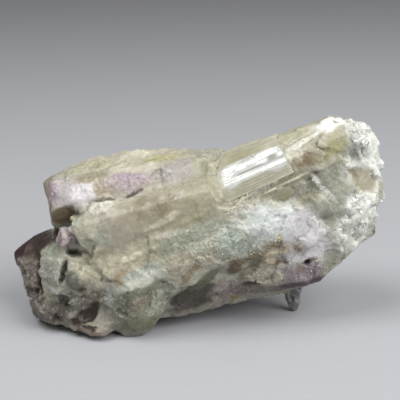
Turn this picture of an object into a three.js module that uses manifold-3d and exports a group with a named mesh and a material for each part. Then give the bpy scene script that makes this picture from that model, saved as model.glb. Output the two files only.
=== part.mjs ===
// Hackmanite rough: a broken hand specimen of pale olive prismatic crystals that lie nearly parallel
// in granular, lilac to white hackmanite. It grew as one piece, so it is one solid.
// Millimetres, +Z up, +X along the stone's length, -Y towards the side with the striated crystal.
// The last step moves the stone so that the origin is under the middle of its box, where it rests.
import * as THREE from "three";
import { ConvexGeometry } from "three/addons/geometries/ConvexGeometry.js";
import { MeshSurfaceSampler } from "three/addons/math/MeshSurfaceSampler.js";
import { TessellateModifier } from "three/addons/modifiers/TessellateModifier.js";
import { mergeVertices } from "three/addons/utils/BufferGeometryUtils.js";
import Module from "manifold-3d";

const wasm = await Module();
wasm.setup();

// Driving dimensions
const stoneLength = 80;
const crystalRise = 24.5; // degrees that the two crystals at the upper right climb towards +X
const crystalYaw = 3; // degrees that they turn away from the -Y side
const middleRise = 16.5; // degrees that the crystals in the middle and on the far side climb
const grainCount = 26; // blocky grains on the broken end
const roughStep = 6.4; // longest edge on a broken face
const roughDepth = 0.75; // how far a broken face wanders from flat
const lumpFlats = 14; // flats chipped on each lump

// A repeatable number from 0 to 1 for whole numbers x, y, z
function hash(x, y, z) {
  const s = Math.sin(x * 127.1 + y * 311.7 + z * 74.7) * 43758.5453;
  return s - Math.floor(s);
}

// Smooth noise from -1 to 1, with one lump about every unit
function noise(x, y, z) {
  const [i, j, k] = [Math.floor(x), Math.floor(y), Math.floor(z)];
  const [u, v, w] = [x - i, y - j, z - k].map((t) => t * t * (3 - 2 * t));
  const mix = THREE.MathUtils.lerp;
  const row = (b, c) => mix(hash(i, j + b, k + c), hash(i + 1, j + b, k + c), u);
  return 2 * mix(mix(row(0, 0), row(1, 0), v), mix(row(0, 1), row(1, 1), v), w) - 1;
}

// A seeded source of numbers from 0 to 1, for scattering
function seeded(seed) {
  let count = seed * 1000;
  return () => hash(count++, seed, 7.3);
}

const point = ([x, y, z]) => new THREE.Vector3(x, y, z);

// Only positions, with shared corners merged
function welded(geometry) {
  const bare = geometry.clone();
  for (const name of Object.keys(bare.attributes)) {
    if (name !== "position") bare.deleteAttribute(name);
  }
  return mergeVertices(bare, 1e-3);
}

function solidOf(geometry) {
  const closed = welded(geometry);
  const vertProperties = closed.attributes.position.array;
  const triVerts = new Uint32Array(closed.index.array);
  return new wasm.Manifold(new wasm.Mesh({ numProp: 3, vertProperties, triVerts }));
}

// Moves every point by a smooth field, so that shared corners stay together
function crumpled(geometry, depth, lumpSize, seed) {
  const places = geometry.attributes.position;
  for (let i = 0; i < places.count; i++) {
    const at = [places.getX(i), places.getY(i), places.getZ(i)];
    const [x, y, z] = at.map((c) => c / lumpSize + seed * 17.3);
    places.setXYZ(
      i,
      at[0] + depth * noise(x, y, z),
      at[1] + depth * noise(x + 31.4, y, z),
      at[2] + depth * noise(x, y + 47.2, z),
    );
  }
  return geometry;
}

// A broken piece of rock: the hull of its corners, with uneven faces
function chunk(corners, { depth = roughDepth, step = roughStep, seed = 1 } = {}) {
  const hull = new ConvexGeometry(corners.map(point));
  const fine = new TessellateModifier(step, 12).modify(hull);
  return solidOf(crumpled(welded(fine), depth, step * 1.3, seed));
}

// A lump with a few chipped flats
function lump({ at, size, turn = 0, seed }) {
  const random = seeded(seed);
  const ball = welded(new THREE.IcosahedronGeometry(1, 1));
  const flats = Array.from({ length: lumpFlats }, () => ({
    normal: point([random() - 0.5, random() - 0.5, random() - 0.5]).normalize(),
    height: 0.66 + 0.24 * random(),
  }));
  const places = ball.attributes.position;
  const p = new THREE.Vector3();
  for (let i = 0; i < places.count; i++) {
    p.fromBufferAttribute(places, i);
    let reach = 1 + 0.07 * noise(p.x * 2.5 + seed, p.y * 2.5, p.z * 2.5);
    for (const { normal, height } of flats) {
      const facing = p.dot(normal);
      if (facing > 0.01) reach = Math.min(reach, height / facing);
    }
    p.multiplyScalar(reach);
    places.setXYZ(i, p.x, p.y, p.z);
  }
  ball.scale(...size);
  ball.rotateY(THREE.MathUtils.degToRad(-turn));
  ball.translate(...at);
  return solidOf(ball);
}

// A prism of a closed outline. The outline's x is towards -Y and its y is up, both square to the prism.
// Each end leans along the prism by its pair of slopes, for every millimetre up and every millimetre in.
function prism({ from, length, outline, rise, yaw = 0, ends = [[0, 0], [0, 0]] }) {
  const shape = new THREE.Shape(outline.map(([out, up]) => new THREE.Vector2(-out, up)));
  const body = new THREE.ExtrudeGeometry(shape, { depth: length, bevelEnabled: false, steps: 1 });
  const places = body.attributes.position;
  for (let i = 0; i < places.count; i++) {
    const [inward, up, along] = [places.getX(i), places.getY(i), places.getZ(i)];
    const [leanUp, leanIn] = along > length / 2 ? ends[1] : ends[0];
    places.setXYZ(i, along + leanUp * up + leanIn * inward, inward, up);
  }
  body.rotateY(THREE.MathUtils.degToRad(-rise));
  body.rotateZ(THREE.MathUtils.degToRad(yaw));
  body.translate(...from);
  return solidOf(body);
}

const plainHull = (corners) => solidOf(new ConvexGeometry(corners.map(point)));

// The corners of a prism's section, with fine steps across each face as growth striations
function striated(corners, { grooves, depth }) {
  return corners.flatMap((corner, i) => {
    const a = new THREE.Vector2(...corner);
    const b = new THREE.Vector2(...corners[(i + 1) % corners.length]);
    const inward = new THREE.Vector2(a.y - b.y, b.x - a.x).normalize();
    const points = [a.toArray()];
    for (let n = 1; n < grooves * 2; n++) {
      const sunk = n % 2 ? depth * (0.6 + 0.4 * hash(i, n, 3)) : 0;
      const along = (n + 0.35 * (hash(i, n, 9) - 0.5)) / (grooves * 2);
      points.push(a.clone().lerp(b, along).addScaledVector(inward, sunk).toArray());
    }
    return points;
  });
}

const join = (solids) => solids.reduce((all, next) => all.add(next));

// The slab at the upper left: a block cut off plainly at -X with a bevel under it, and the band behind it
function upperSlab() {
  const block = chunk(
    [
      [-33.6, -1.0, 30.8],
      [-32.3, 2.0, 31.5],
      [-30.3, 3.0, 32.1],
      [-24.9, 4.0, 34.5],
      [-21.6, 4.0, 35.9],
      [-29.0, -3.0, 31.8],
      [-24.1, -4.4, 32.6],
      [-18.6, -6.0, 33.7],
      [-31.4, -5.0, 25.8],
      [-28.8, -6.2, 27.2],
      [-26.6, -7.2, 28.4],
      [-21.7, -8.0, 29.0],
      [-16.9, -8.4, 29.6],
      [-11.0, -6.4, 33.6],
      [-31.5, -1.0, 20.7],
      [-30.0, -2.2, 21.0],
      [-25.6, -4.4, 24.0],
      [-12.0, -5.0, 26.0],
      [-31.0, 7.0, 22.0],
      [-29.0, 9.0, 29.0],
      [-12.0, 9.0, 30.0],
    ],
    { seed: 2, depth: 0.4 },
  );
  const band = chunk(
    [
      [-24.0, 4.0, 34.8],
      [-16.3, 5.0, 36.7],
      [-7.6, 5.0, 37.3],
      [0.0, 5.0, 36.9],
      [5.0, 4.0, 37.2],
      [-22.0, -3.0, 33.2],
      [-17.0, -4.5, 34.6],
      [-8.3, -5.0, 35.4],
      [1.0, -3.6, 36.9],
      [-19.0, -8.0, 28.6],
      [-8.2, -8.4, 30.0],
      [-4.5, -7.5, 32.6],
      [1.0, -7.0, 33.8],
      [4.0, -5.0, 35.0],
      [-21.0, 10.0, 28.0],
      [-5.0, 11.5, 31.0],
      [5.0, 9.0, 32.0],
      [2.0, 2.0, 24.0],
      [-20.0, 0.0, 24.0],
    ],
    { seed: 4, depth: 0.5 },
  );
  return block.add(band);
}

// Thin crystals that lie along the top of the slab, edge to edge, like a pack of blades
function slabBlades() {
  const places = [
    { from: [-31.0, 0.4, 31.2], length: 15, wide: 1.6, high: 0.7, rise: 13 },
    { from: [-28.4, -2.0, 31.7], length: 13, wide: 1.4, high: 0.6, rise: 10.5 },
    { from: [-25.0, 2.2, 33.5], length: 18, wide: 1.5, high: 0.7, rise: 8.5 },
    { from: [-18.6, -2.8, 34.6], length: 16, wide: 1.4, high: 0.7, rise: 5.5 },
    { from: [-15.5, -0.4, 35.6], length: 18, wide: 1.5, high: 0.7, rise: 3.5 },
  ];
  return join(
    places.map(({ from, length, wide, high, rise }, i) => {
      const outline = [
        [wide, 0],
        [wide * 0.4, high],
        [-wide * 0.7, high * 0.7],
        [-wide, -high * 0.3],
        [0, -high],
      ];
      return prism({ from, length, outline, rise, yaw: i % 3, ends: [[0, 0.6], [0.3, -0.8]] });
    }),
  );
}

// The smooth, rounded crystal across the middle
function middleCrystal() {
  const outline = [
    [5.1, -2.6],
    [5.2, -0.6],
    [5.0, 1.6],
    [4.3, 3.3],
    [2.9, 4.4],
    [0.6, 4.9],
    [-3.2, 4.2],
    [-5.0, 1.0],
    [-4.6, -2.6],
    [-2.0, -4.6],
    [2.6, -4.6],
    [4.4, -3.9],
  ];
  const ends = [[-0.3, 0.3], [-0.2, 0.1]];
  return prism({ from: [-23.2, -7.9, 21.7], length: 28.6, outline, rise: middleRise, yaw: 1, ends });
}

// The striated crystal at the upper right. The face that looks out and up is the bright one.
// Its top and its far end are broken, so both are cut off plainly.
function striatedCrystal() {
  const corners = [
    [-3.6, 5.9],
    [-6.4, 2.6],
    [-6.5, -2.0],
    [-3.5, -5.5],
    [3.0, -5.0],
    [5.5, -1.8],
    [4.9, 1.0],
    [1.9, 4.0],
  ];
  const outline = striated(corners, { grooves: 3, depth: 0.2 });
  const ends = [[0, 0.5], [-0.1, 0]];
  const whole = prism({
    from: [5.4, -5.4, 31.5],
    length: 29.5,
    outline,
    rise: crystalRise,
    yaw: crystalYaw,
    ends,
  });
  const offTop = [
    [2.0, 8.0, 36.0],
    [4.0, -6.0, 38.3],
    [34.0, -6.0, 48.3],
    [34.0, 8.0, 46.0],
    [2.0, 8.0, 56.0],
    [4.0, -6.0, 56.0],
    [34.0, -6.0, 56.0],
    [34.0, 8.0, 56.0],
  ];
  const offShoulder = [
    [22.0, -2.4, 46.4],
    [26.6, -2.4, 45.7],
    [38.0, -2.4, 43.4],
    [38.0, 8.0, 41.4],
    [24.0, 8.0, 44.0],
    [25.0, -9.4, 47.2],
    [38.0, -9.4, 44.4],
    [22.0, -9.4, 56.0],
    [38.0, -9.4, 56.0],
    [22.0, 8.0, 56.0],
    [38.0, 8.0, 56.0],
  ];
  const offEnd = [
    [28.6, -2.0, 47.0],
    [31.0, -5.0, 41.6],
    [29.6, -11.0, 36.0],
    [33.0, 6.0, 40.0],
    [42.0, -3.0, 48.0],
    [42.0, -12.0, 34.0],
    [42.0, 8.0, 40.0],
    [32.0, 6.0, 48.0],
  ];
  return whole.subtract(join([offTop, offShoulder, offEnd].map(plainHull)));
}

// The glassy crystal under it
function glassyCrystal() {
  const corners = [
    [-3.0, 4.6],
    [-5.0, 0.0],
    [-2.0, -5.0],
    [3.6, -3.6],
    [4.9, 0.9],
    [3.0, 4.2],
  ];
  const outline = striated(corners, { grooves: 2, depth: 0.16 });
  const ends = [[0.2, 0], [0.1, 0]];
  return prism({ from: [7.6, -5.8, 28.0], length: 23.6, outline, rise: crystalRise, yaw: crystalYaw, ends });
}

// A long crystal on the far side, nearly parallel to the others
function farCrystal() {
  const corners = [
    [2.5, 5.2],
    [-3.0, 5.0],
    [-5.6, 2.0],
    [-5.4, -2.6],
    [-2.6, -5.2],
    [3.0, -5.0],
    [5.2, -1.5],
  ];
  const outline = striated(corners, { grooves: 2, depth: 0.2 });
  const ends = [[0.2, 0.2], [-0.4, -0.3]];
  return prism({ from: [-23.0, 10.2, 17.6], length: 50, outline, rise: middleRise, yaw: -3, ends });
}

// The mass that joins the crystals
function heart() {
  const corners = [
    [-30.0, 2.0, 8.0],
    [-29.0, 8.0, 10.0],
    [-28.0, 6.0, 27.0],
    [-26.0, -6.0, 20.0],
    [-18.0, 12.0, 6.0],
    [-16.0, -8.0, 4.0],
    [-4.0, 13.0, 18.0],
    [4.0, 7.0, 34.0],
    [2.0, -4.0, 34.0],
    [14.0, -7.0, 12.0],
    [12.0, 12.0, 9.0],
    [26.0, 10.0, 33.0],
    [26.0, 3.0, 41.0],
    [29.0, 8.0, 16.0],
    [26.0, -5.0, 15.0],
    [6.0, 4.0, 5.0],
  ];
  return plainHull(corners);
}

// The broken end at +X, before its grains, with the smooth hollow that looks out from it
function brokenEnd() {
  const end = chunk(
    [
      [28.6, -2.0, 44.8],
      [31.4, -1.0, 44.4],
      [35.4, -1.0, 43.0],
      [37.8, -1.0, 39.8],
      [38.2, -1.0, 34.8],
      [31.0, -6.4, 39.6],
      [31.0, -8.0, 34.0],
      [32.6, -9.0, 28.6],
      [31.2, -9.6, 24.6],
      [27.6, -9.6, 22.4],
      [36.4, -6.0, 25.4],
      [37.2, -3.0, 21.4],
      [33.6, -5.0, 18.6],
      [31.6, -4.6, 15.6],
      [28.8, -5.0, 12.0],
      [23.0, -8.4, 14.4],
      [33.0, 9.0, 37.0],
      [35.0, 9.0, 24.0],
      [27.0, 12.0, 30.0],
      [24.0, 9.0, 13.0],
      [18.0, 0.0, 20.0],
    ],
    { seed: 5, depth: 0.7 },
  );
  const knob = chunk(
    [
      [30.4, -6.6, 36.4],
      [34.0, -6.0, 36.6],
      [37.4, -2.6, 34.8],
      [38.6, -1.0, 33.9],
      [39.4, -2.0, 31.6],
      [39.3, -2.4, 27.0],
      [37.0, -6.4, 28.4],
      [33.0, -8.6, 29.6],
      [31.0, -8.2, 32.6],
      [34.0, 4.0, 30.0],
    ],
    { seed: 6, depth: 0.3, step: 3.4 },
  );
  const scoop = new THREE.IcosahedronGeometry(4.4, 2);
  scoop.translate(33.2, -11.2, 35.0);
  return end.add(knob).subtract(solidOf(scoop));
}

// Blocky grains that stand out of the broken end
function grains(base) {
  const random = seeded(11);
  const sampler = new MeshSurfaceSampler(new THREE.Mesh(geometryOf(base).toNonIndexed()));
  sampler.setRandomGenerator(random).build();
  const at = new THREE.Vector3();
  const normal = new THREE.Vector3();
  const made = [];
  while (made.length < grainCount) {
    sampler.sample(at, normal);
    const side = 1.7 + 1.3 * random();
    at.addScaledVector(normal, -0.3 * side);
    const grain = new THREE.BoxGeometry(side, side * (0.7 + 0.4 * random()), side * 0.8);
    grain.rotateX(3 * random());
    grain.rotateY(3 * random());
    grain.rotateZ(3 * random());
    grain.translate(at.x, at.y, at.z);
    const onKnob = at.z > 29 && at.z < 37 && at.y < -1;
    const inCrust = at.x > 28.5 + 0.2 * Math.abs(at.z - 24) && at.z > 15;
    if (inCrust && !onKnob) made.push(solidOf(grain));
  }
  return join(made);
}

// The granular rock across the front: the nose at the left, and the crest that climbs from it to the right
function frontRidge() {
  const nose = chunk(
    [
      [-21.8, -11.6, 17.4],
      [-16.3, -13.2, 19.0],
      [-20.0, -13.0, 11.2],
      [-19.8, -11.2, 4.1],
      [-17.3, -11.4, 2.0],
      [-15.5, -11.8, -0.4],
      [-11.8, -11.6, -0.4],
      [-15.0, -8.6, -0.4],
      [-11.6, -8.8, -0.4],
      [-9.8, -11.4, 2.4],
      [-7.6, -11.8, 5.6],
      [-6.4, -12.8, 8.8],
      [-8.0, -15.2, 13.2],
      [-10.1, -16.0, 15.4],
      [-15.0, -15.8, 12.2],
      [-13.3, -16.4, 9.0],
      [-12.0, -6.0, 8.0],
    ],
    { seed: 7, step: 4.6 },
  );
  const crest = chunk(
    [
      [-17.0, -13.4, 18.4],
      [-10.2, -13.4, 22.4],
      [-1.8, -13.4, 24.6],
      [4.5, -12.8, 26.6],
      [-13.0, -15.8, 14.4],
      [-11.0, -13.0, 9.0],
      [-5.0, -16.0, 17.6],
      [3.0, -15.4, 20.8],
      [8.0, -14.2, 22.8],
      [-5.6, -13.2, 9.6],
      [-2.1, -13.6, 12.1],
      [2.9, -13.4, 15.2],
      [6.5, -13.0, 18.3],
      [-8.0, -5.0, 14.0],
      [6.0, -5.0, 20.0],
    ],
    { seed: 8, step: 4.6 },
  );
  const shoulder = chunk(
    [
      [5.7, -11.2, 30.0],
      [12.6, -11.4, 29.4],
      [20.5, -10.8, 28.4],
      [24.4, -9.2, 26.2],
      [4.0, -13.6, 24.4],
      [12.1, -13.6, 24.9],
      [18.3, -12.2, 24.0],
      [4.4, -14.0, 18.6],
      [12.7, -12.2, 20.1],
      [17.5, -11.4, 18.6],
      [24.0, -9.8, 20.0],
      [8.0, -5.0, 22.0],
      [22.0, -4.0, 18.0],
    ],
    { seed: 9, step: 4.6 },
  );
  return join([nose, crest, shoulder]);
}

// The lower right: the lilac flank, the block under the stained hollow, and the thin blade at the bottom
function lowerRight() {
  const flank = chunk(
    [
      [22.6, -10.0, 24.2],
      [27.1, -8.2, 21.8],
      [30.0, -6.0, 20.0],
      [29.3, -5.8, 16.3],
      [27.9, -4.8, 11.6],
      [20.6, -9.0, 12.4],
      [22.4, -7.6, 10.6],
      [25.6, -5.8, 10.6],
      [17.4, -11.0, 18.2],
      [25.7, -8.2, 15.5],
      [24.0, 4.0, 11.0],
      [28.0, 5.0, 18.0],
    ],
    { seed: 17, depth: 0.5, step: 4.6 },
  );
  const block = chunk(
    [
      [10.4, -8.0, 11.4],
      [12.4, -11.0, 16.8],
      [18.7, -10.6, 16.4],
      [21.0, -8.8, 12.6],
      [19.5, -8.2, 10.4],
      [13.2, -7.4, 9.2],
      [9.8, -7.2, 8.8],
      [12.0, 0.0, 14.0],
      [20.0, 0.0, 12.0],
    ],
    { seed: 18, depth: 0.4, step: 4.6 },
  );
  const blade = chunk(
    [
      [9.6, -7.8, 9.0],
      [18.8, -8.2, 10.4],
      [26.4, -5.0, 10.2],
      [24.0, 1.0, 9.6],
      [10.6, -5.0, 5.9],
      [14.1, -4.0, 5.9],
      [18.3, -3.0, 6.2],
      [10.0, -1.0, 6.0],
      [12.0, 5.0, 8.0],
    ],
    { seed: 10, depth: 0.2 },
  );
  return join([flank, block, blade]);
}

// The smooth shadowed faces under the crest
function underside() {
  const smooth = chunk(
    [
      [-9.0, -10.0, 3.0],
      [-5.3, -11.2, 7.3],
      [0.2, -6.4, 3.2],
      [2.7, -10.4, 11.8],
      [2.9, -12.6, 14.6],
      [-12.0, 8.0, 1.6],
      [-2.0, 10.0, 2.6],
      [4.0, 4.0, 6.0],
    ],
    { seed: 19, depth: 0.3, step: 6.5 },
  );
  const floor = chunk(
    [
      [0.9, -6.2, 3.4],
      [1.6, -10.2, 11.6],
      [5.4, -12.6, 17.0],
      [9.8, -10.8, 15.8],
      [8.7, -7.7, 9.4],
      [5.6, -5.2, 4.6],
      [10.6, -5.2, 5.6],
      [16.0, 9.0, 7.0],
      [0.0, 11.0, 3.0],
      [-10.0, 6.0, 1.8],
    ],
    { seed: 20, depth: 0.4, step: 6.5 },
  );
  return smooth.add(floor);
}

// The dark crystal tip at -X and the masses behind the nose
function leftEnd() {
  const tip = chunk(
    [
      [-41.4, 2.0, 14.2],
      [-41.1, 2.0, 11.4],
      [-39.4, 0.2, 10.6],
      [-37.6, -1.0, 13.6],
      [-39.0, 3.0, 16.2],
      [-37.0, 3.0, 17.7],
      [-33.0, 4.0, 19.0],
      [-30.8, 0.0, 19.8],
      [-33.4, -3.4, 17.0],
      [-36.5, 9.0, 13.4],
      [-31.0, 10.0, 17.0],
      [-36.0, 6.0, 7.0],
    ],
    { seed: 12, depth: 0.2 },
  );
  const flank = chunk(
    [
      [-39.4, 0.4, 10.4],
      [-37.2, -2.6, 13.0],
      [-34.2, -5.2, 14.4],
      [-33.2, -5.0, 18.0],
      [-38.7, -0.8, 7.9],
      [-38.4, 0.0, 4.2],
      [-35.0, -5.4, 7.5],
      [-34.4, -3.6, 1.4],
      [-35.8, 1.0, -0.4],
      [-31.0, -5.6, -0.4],
      [-28.0, 9.0, -0.4],
      [-34.0, 9.0, 7.0],
      [-20.0, 12.0, 1.0],
      [-22.0, -8.0, -0.4],
      [-20.0, -6.0, 18.0],
      [-28.0, 8.0, 18.0],
    ],
    { seed: 13, depth: 0.6 },
  );
  const slab = chunk(
    [
      [-33.6, -6.6, 17.5],
      [-30.5, -7.6, 19.6],
      [-27.4, -9.4, 19.4],
      [-29.2, -11.0, 16.3],
      [-33.8, -7.6, 12.0],
      [-32.9, -8.6, 7.8],
      [-28.9, -12.6, 10.6],
      [-29.8, -11.8, 13.4],
      [-30.2, -8.0, 6.4],
      [-26.0, -6.0, 12.0],
    ],
    { seed: 14, depth: 0.35, step: 4.4 },
  );
  const middle = chunk(
    [
      [-27.4, -10.4, 18.4],
      [-21.8, -11.8, 18.6],
      [-19.0, -13.4, 12.4],
      [-20.4, -12.4, 6.6],
      [-24.0, -13.0, 8.8],
      [-27.2, -12.2, 8.4],
      [-28.6, -11.2, 12.0],
      [-24.4, -6.0, 5.0],
      [-22.0, -5.0, 18.0],
    ],
    { seed: 16, depth: 0.6, step: 4.4 },
  );
  return join([tip, flank, slab, middle]);
}

// Rounded lumps of granular rock, each with chipped flats
function lumps() {
  const places = [
    { at: [-25.6, -12.2, 13.1], size: [2.1, 2.2, 2.2], seed: 23 },
    { at: [-27.8, -8.2, 20.8], size: [2.5, 2.2, 2.2], seed: 24 },
    { at: [-20.6, -8.0, 27.6], size: [3.4, 2.4, 1.8], turn: 15, seed: 25 },
    { at: [-14.4, -7.6, 29.2], size: [3.2, 2.2, 1.5], turn: 12, seed: 28 },
    { at: [-33.2, -3.2, 3.4], size: [3.4, 3.6, 3.6], seed: 26 },
    { at: [-18.0, 11.0, 11.0], size: [10.0, 6.0, 8.0], seed: 31 },
    { at: [2.0, 11.6, 12.0], size: [11.0, 5.6, 8.0], turn: 15, seed: 32 },
    { at: [21.0, 9.6, 20.0], size: [9.0, 5.4, 8.0], turn: 25, seed: 33 },
    { at: [-12.0, 8.0, 30.0], size: [10.0, 4.6, 4.4], turn: 12, seed: 34 },
    { at: [8.0, 11.0, 4.0], size: [5.0, 4.0, 4.6], seed: 35 },
  ];
  return join(places.map(lump));
}

// The granular rock that the crystals grew in, where it stands between them and under them
function rockBetween() {
  const places = [
    { at: [-21.9, -7.2, 22.6], size: [4.6, 6.4, 6.0], turn: 16, seed: 51 },
    { at: [-6.9, -10.6, 22.2], size: [16.0, 3.4, 3.4], turn: 16.5, seed: 52 },
    { at: [5.1, -10.6, 27.2], size: [6.6, 2.6, 3.4], turn: 20, seed: 53 },
    { at: [2.7, -4.4, 33.6], size: [3.4, 3.6, 3.8], turn: 20, seed: 54 },
    { at: [22.7, -7.0, 28.4], size: [6.0, 3.9, 5.0], turn: 10, seed: 55 },
    { at: [28.7, -6.6, 31.0], size: [5.2, 3.9, 9.0], turn: -8, seed: 56 },
    { at: [14.6, -8.0, 16.4], size: [9.4, 3.6, 3.2], turn: 5, seed: 57 },
    { at: [-31.2, -4.2, 5.0], size: [6.0, 6.2, 5.6], seed: 58 },
    { at: [-22.5, -9.6, 3.4], size: [7.6, 4.8, 4.0], seed: 59 },
    { at: [-5.0, -8.6, 8.8], size: [4.0, 3.2, 4.2], turn: 40, seed: 60 },
    { at: [-19.4, -10.4, 17.7], size: [4.0, 3.0, 2.6], turn: 10, seed: 61 },
    { at: [7.0, -9.3, 16.0], size: [3.6, 3.0, 2.4], turn: -10, seed: 62 },
    { at: [20.8, -6.5, 11.2], size: [3.0, 2.4, 2.0], seed: 63 },
    { at: [19.2, -8.6, 27.7], size: [5.2, 2.2, 2.0], turn: 15, seed: 64 },
  ];
  return join(places.map(lump));
}

// The small pointed foot under the right half
function footSpike() {
  return chunk(
    [
      [18.0, 1.0, 8.0],
      [23.0, 0.6, 8.6],
      [22.0, 5.4, 8.0],
      [18.8, 2.0, 4.6],
      [21.9, 2.0, 5.2],
      [20.4, 1.4, -0.6],
      [21.8, 1.4, -0.6],
      [21.2, 3.2, -0.6],
    ],
    { seed: 15, depth: 0.15 },
  );
}

// What is broken away: the hollow under the slab, the pits, and the gaps between masses
function hollows() {
  const underSlab = [
    [-33.0, -9.0, 21.6],
    [-29.6, -9.4, 23.4],
    [-25.0, -10.0, 26.4],
    [-23.4, -8.0, 26.6],
    [-28.6, -3.0, 21.2],
    [-31.6, -1.6, 20.2],
    [-25.4, -4.6, 23.4],
  ];
  const crackRight = [
    [4.4, -14.0, 33.4],
    [5.0, -14.0, 33.2],
    [6.2, -14.0, 26.8],
    [6.6, -14.0, 27.0],
    [4.9, -8.6, 33.0],
    [6.4, -8.6, 27.4],
  ];
  const grooveLeft = [
    [-34.4, -11.0, 16.8],
    [-33.6, -11.0, 17.4],
    [-35.2, -11.0, 7.6],
    [-33.9, -11.0, 7.0],
    [-33.4, -5.4, 16.2],
    [-34.2, -4.6, 8.4],
  ];
  const stainedHollow = [
    [11.0, -14.0, 17.6],
    [20.0, -14.0, 18.6],
    [19.0, -14.0, 16.6],
    [12.0, -14.0, 15.2],
    [13.4, -9.6, 16.8],
    [18.4, -9.8, 17.4],
  ];
  const valley = [
    [12.6, -14.0, 16.4],
    [12.0, -14.0, 17.4],
    [7.6, -12.0, 8.4],
    [8.6, -12.0, 7.4],
    [11.6, -8.8, 15.4],
    [8.9, -6.6, 8.4],
  ];
  const pits = [
    { at: [-26.4, -10.8, 17.8], size: [1.5, 2.6, 1.2], turn: -20, seed: 41 },
    { at: [-23.4, -13.4, 5.6], size: [2.6, 2.2, 1.7], turn: 30, seed: 43 },
    { at: [22.5, -11.8, 15.9], size: [0.7, 3.6, 0.7], seed: 44 },
  ];
  const cuts = [underSlab, crackRight, grooveLeft, stainedHollow, valley];
  return join([...cuts.map(plainHull), ...pits.map(lump)]);
}

// Everything below the resting surface is cut away, which leaves small flats to stand on
function belowTable() {
  const box = new THREE.BoxGeometry(2 * stoneLength, stoneLength, 10);
  box.translate(0, 0, -5);
  return solidOf(box);
}

function hackmaniteSolid() {
  const end = brokenEnd();
  const grown = join([
    heart(),
    upperSlab(),
    slabBlades(),
    middleCrystal(),
    striatedCrystal(),
    glassyCrystal(),
    farCrystal(),
    end,
    grains(end),
    frontRidge(),
    lowerRight(),
    underside(),
    leftEnd(),
    lumps(),
    rockBetween(),
    footSpike(),
  ]);
  return grown.subtract(hollows()).subtract(belowTable());
}

// A solid as three.js geometry
function geometryOf(solid) {
  const mesh = solid.getMesh();
  const geometry = new THREE.BufferGeometry();
  geometry.setAttribute("position", new THREE.BufferAttribute(mesh.vertProperties, 3));
  geometry.setIndex(new THREE.BufferAttribute(mesh.triVerts, 1));
  return geometry;
}

// Moves a geometry until the middle of its box is over the origin
function centred(geometry) {
  geometry.computeBoundingBox();
  const middle = geometry.boundingBox.getCenter(new THREE.Vector3());
  return geometry.translate(-middle.x, -middle.y, 0);
}

const stone = new THREE.Mesh(
  centred(geometryOf(hackmaniteSolid())),
  new THREE.MeshStandardMaterial({ color: 0xb9b8a6, roughness: 0.5, metalness: 0, flatShading: true }),
);
stone.name = "hackmanite_rough";

const hackmaniteRough = new THREE.Group();
hackmaniteRough.add(stone);

export default hackmaniteRough;
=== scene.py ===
# Rough hackmanite: pale olive crystals, nearly parallel, grown in sugary lilac, white and green rock.
# Sizes in the dictionaries are in millimetres; Blender works in metres.
import bpy
import bmesh
import numpy as np
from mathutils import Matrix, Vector
from mathutils.bvhtree import BVHTree


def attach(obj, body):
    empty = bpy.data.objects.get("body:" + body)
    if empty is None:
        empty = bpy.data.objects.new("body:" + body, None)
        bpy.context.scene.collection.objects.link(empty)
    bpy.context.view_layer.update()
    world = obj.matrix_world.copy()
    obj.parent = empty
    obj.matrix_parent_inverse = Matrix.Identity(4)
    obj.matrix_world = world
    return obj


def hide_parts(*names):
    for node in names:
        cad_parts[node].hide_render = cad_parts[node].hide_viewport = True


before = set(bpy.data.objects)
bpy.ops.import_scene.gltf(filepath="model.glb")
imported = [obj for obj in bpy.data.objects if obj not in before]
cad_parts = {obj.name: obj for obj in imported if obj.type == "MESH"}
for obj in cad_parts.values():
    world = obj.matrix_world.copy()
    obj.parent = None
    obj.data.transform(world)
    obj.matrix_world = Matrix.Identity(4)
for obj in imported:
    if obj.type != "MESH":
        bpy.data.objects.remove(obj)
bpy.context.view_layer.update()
stoneNode = "hackmanite_rough"
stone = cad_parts[stoneNode]
mm = 0.001


# Noise over points in millimetres. Every call names its seed, so each run gives the same stone.

def randomAt(cells, seed):
    # one number from 0 to 1 for each whole-numbered cell
    c = cells.astype(np.int64)
    n = (c[..., 0] * 73856093) ^ (c[..., 1] * 19349663) ^ (c[..., 2] * 83492791) ^ (seed * 2654435761)
    n = n & 0xffffffff
    for turn in range(2):
        n = ((n ^ (n >> 16)) * 0x45d9f3b) & 0xffffffff
    return ((n ^ (n >> 16)) & 0xffffffff) / 0xffffffff


def smoothNoise(points, size, seed):
    # from -1 to 1, one lump about every size millimetres
    p = points / size
    low = np.floor(p)
    t = p - low
    t = t * t * (3 - 2 * t)
    total = 0
    for i in (0, 1):
        for j in (0, 1):
            for k in (0, 1):
                share = (t[:, 0] if i else 1 - t[:, 0]) * (t[:, 1] if j else 1 - t[:, 1])
                share = share * (t[:, 2] if k else 1 - t[:, 2])
                total = total + share * randomAt(low + np.array([i, j, k]), seed)
    return 2 * total - 1


def layeredNoise(points, size, seed, layers=3):
    total = 0
    for n in range(layers):
        total = total + smoothNoise(points, size / 2 ** n, seed + 7 * n) / 2 ** n
    return total / 1.75  # the three layers' heights are 1, 1/2 and 1/4


def noiseVector(points, size, seeds):
    return np.stack([layeredNoise(points, size, seed) for seed in seeds], 1)


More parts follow.
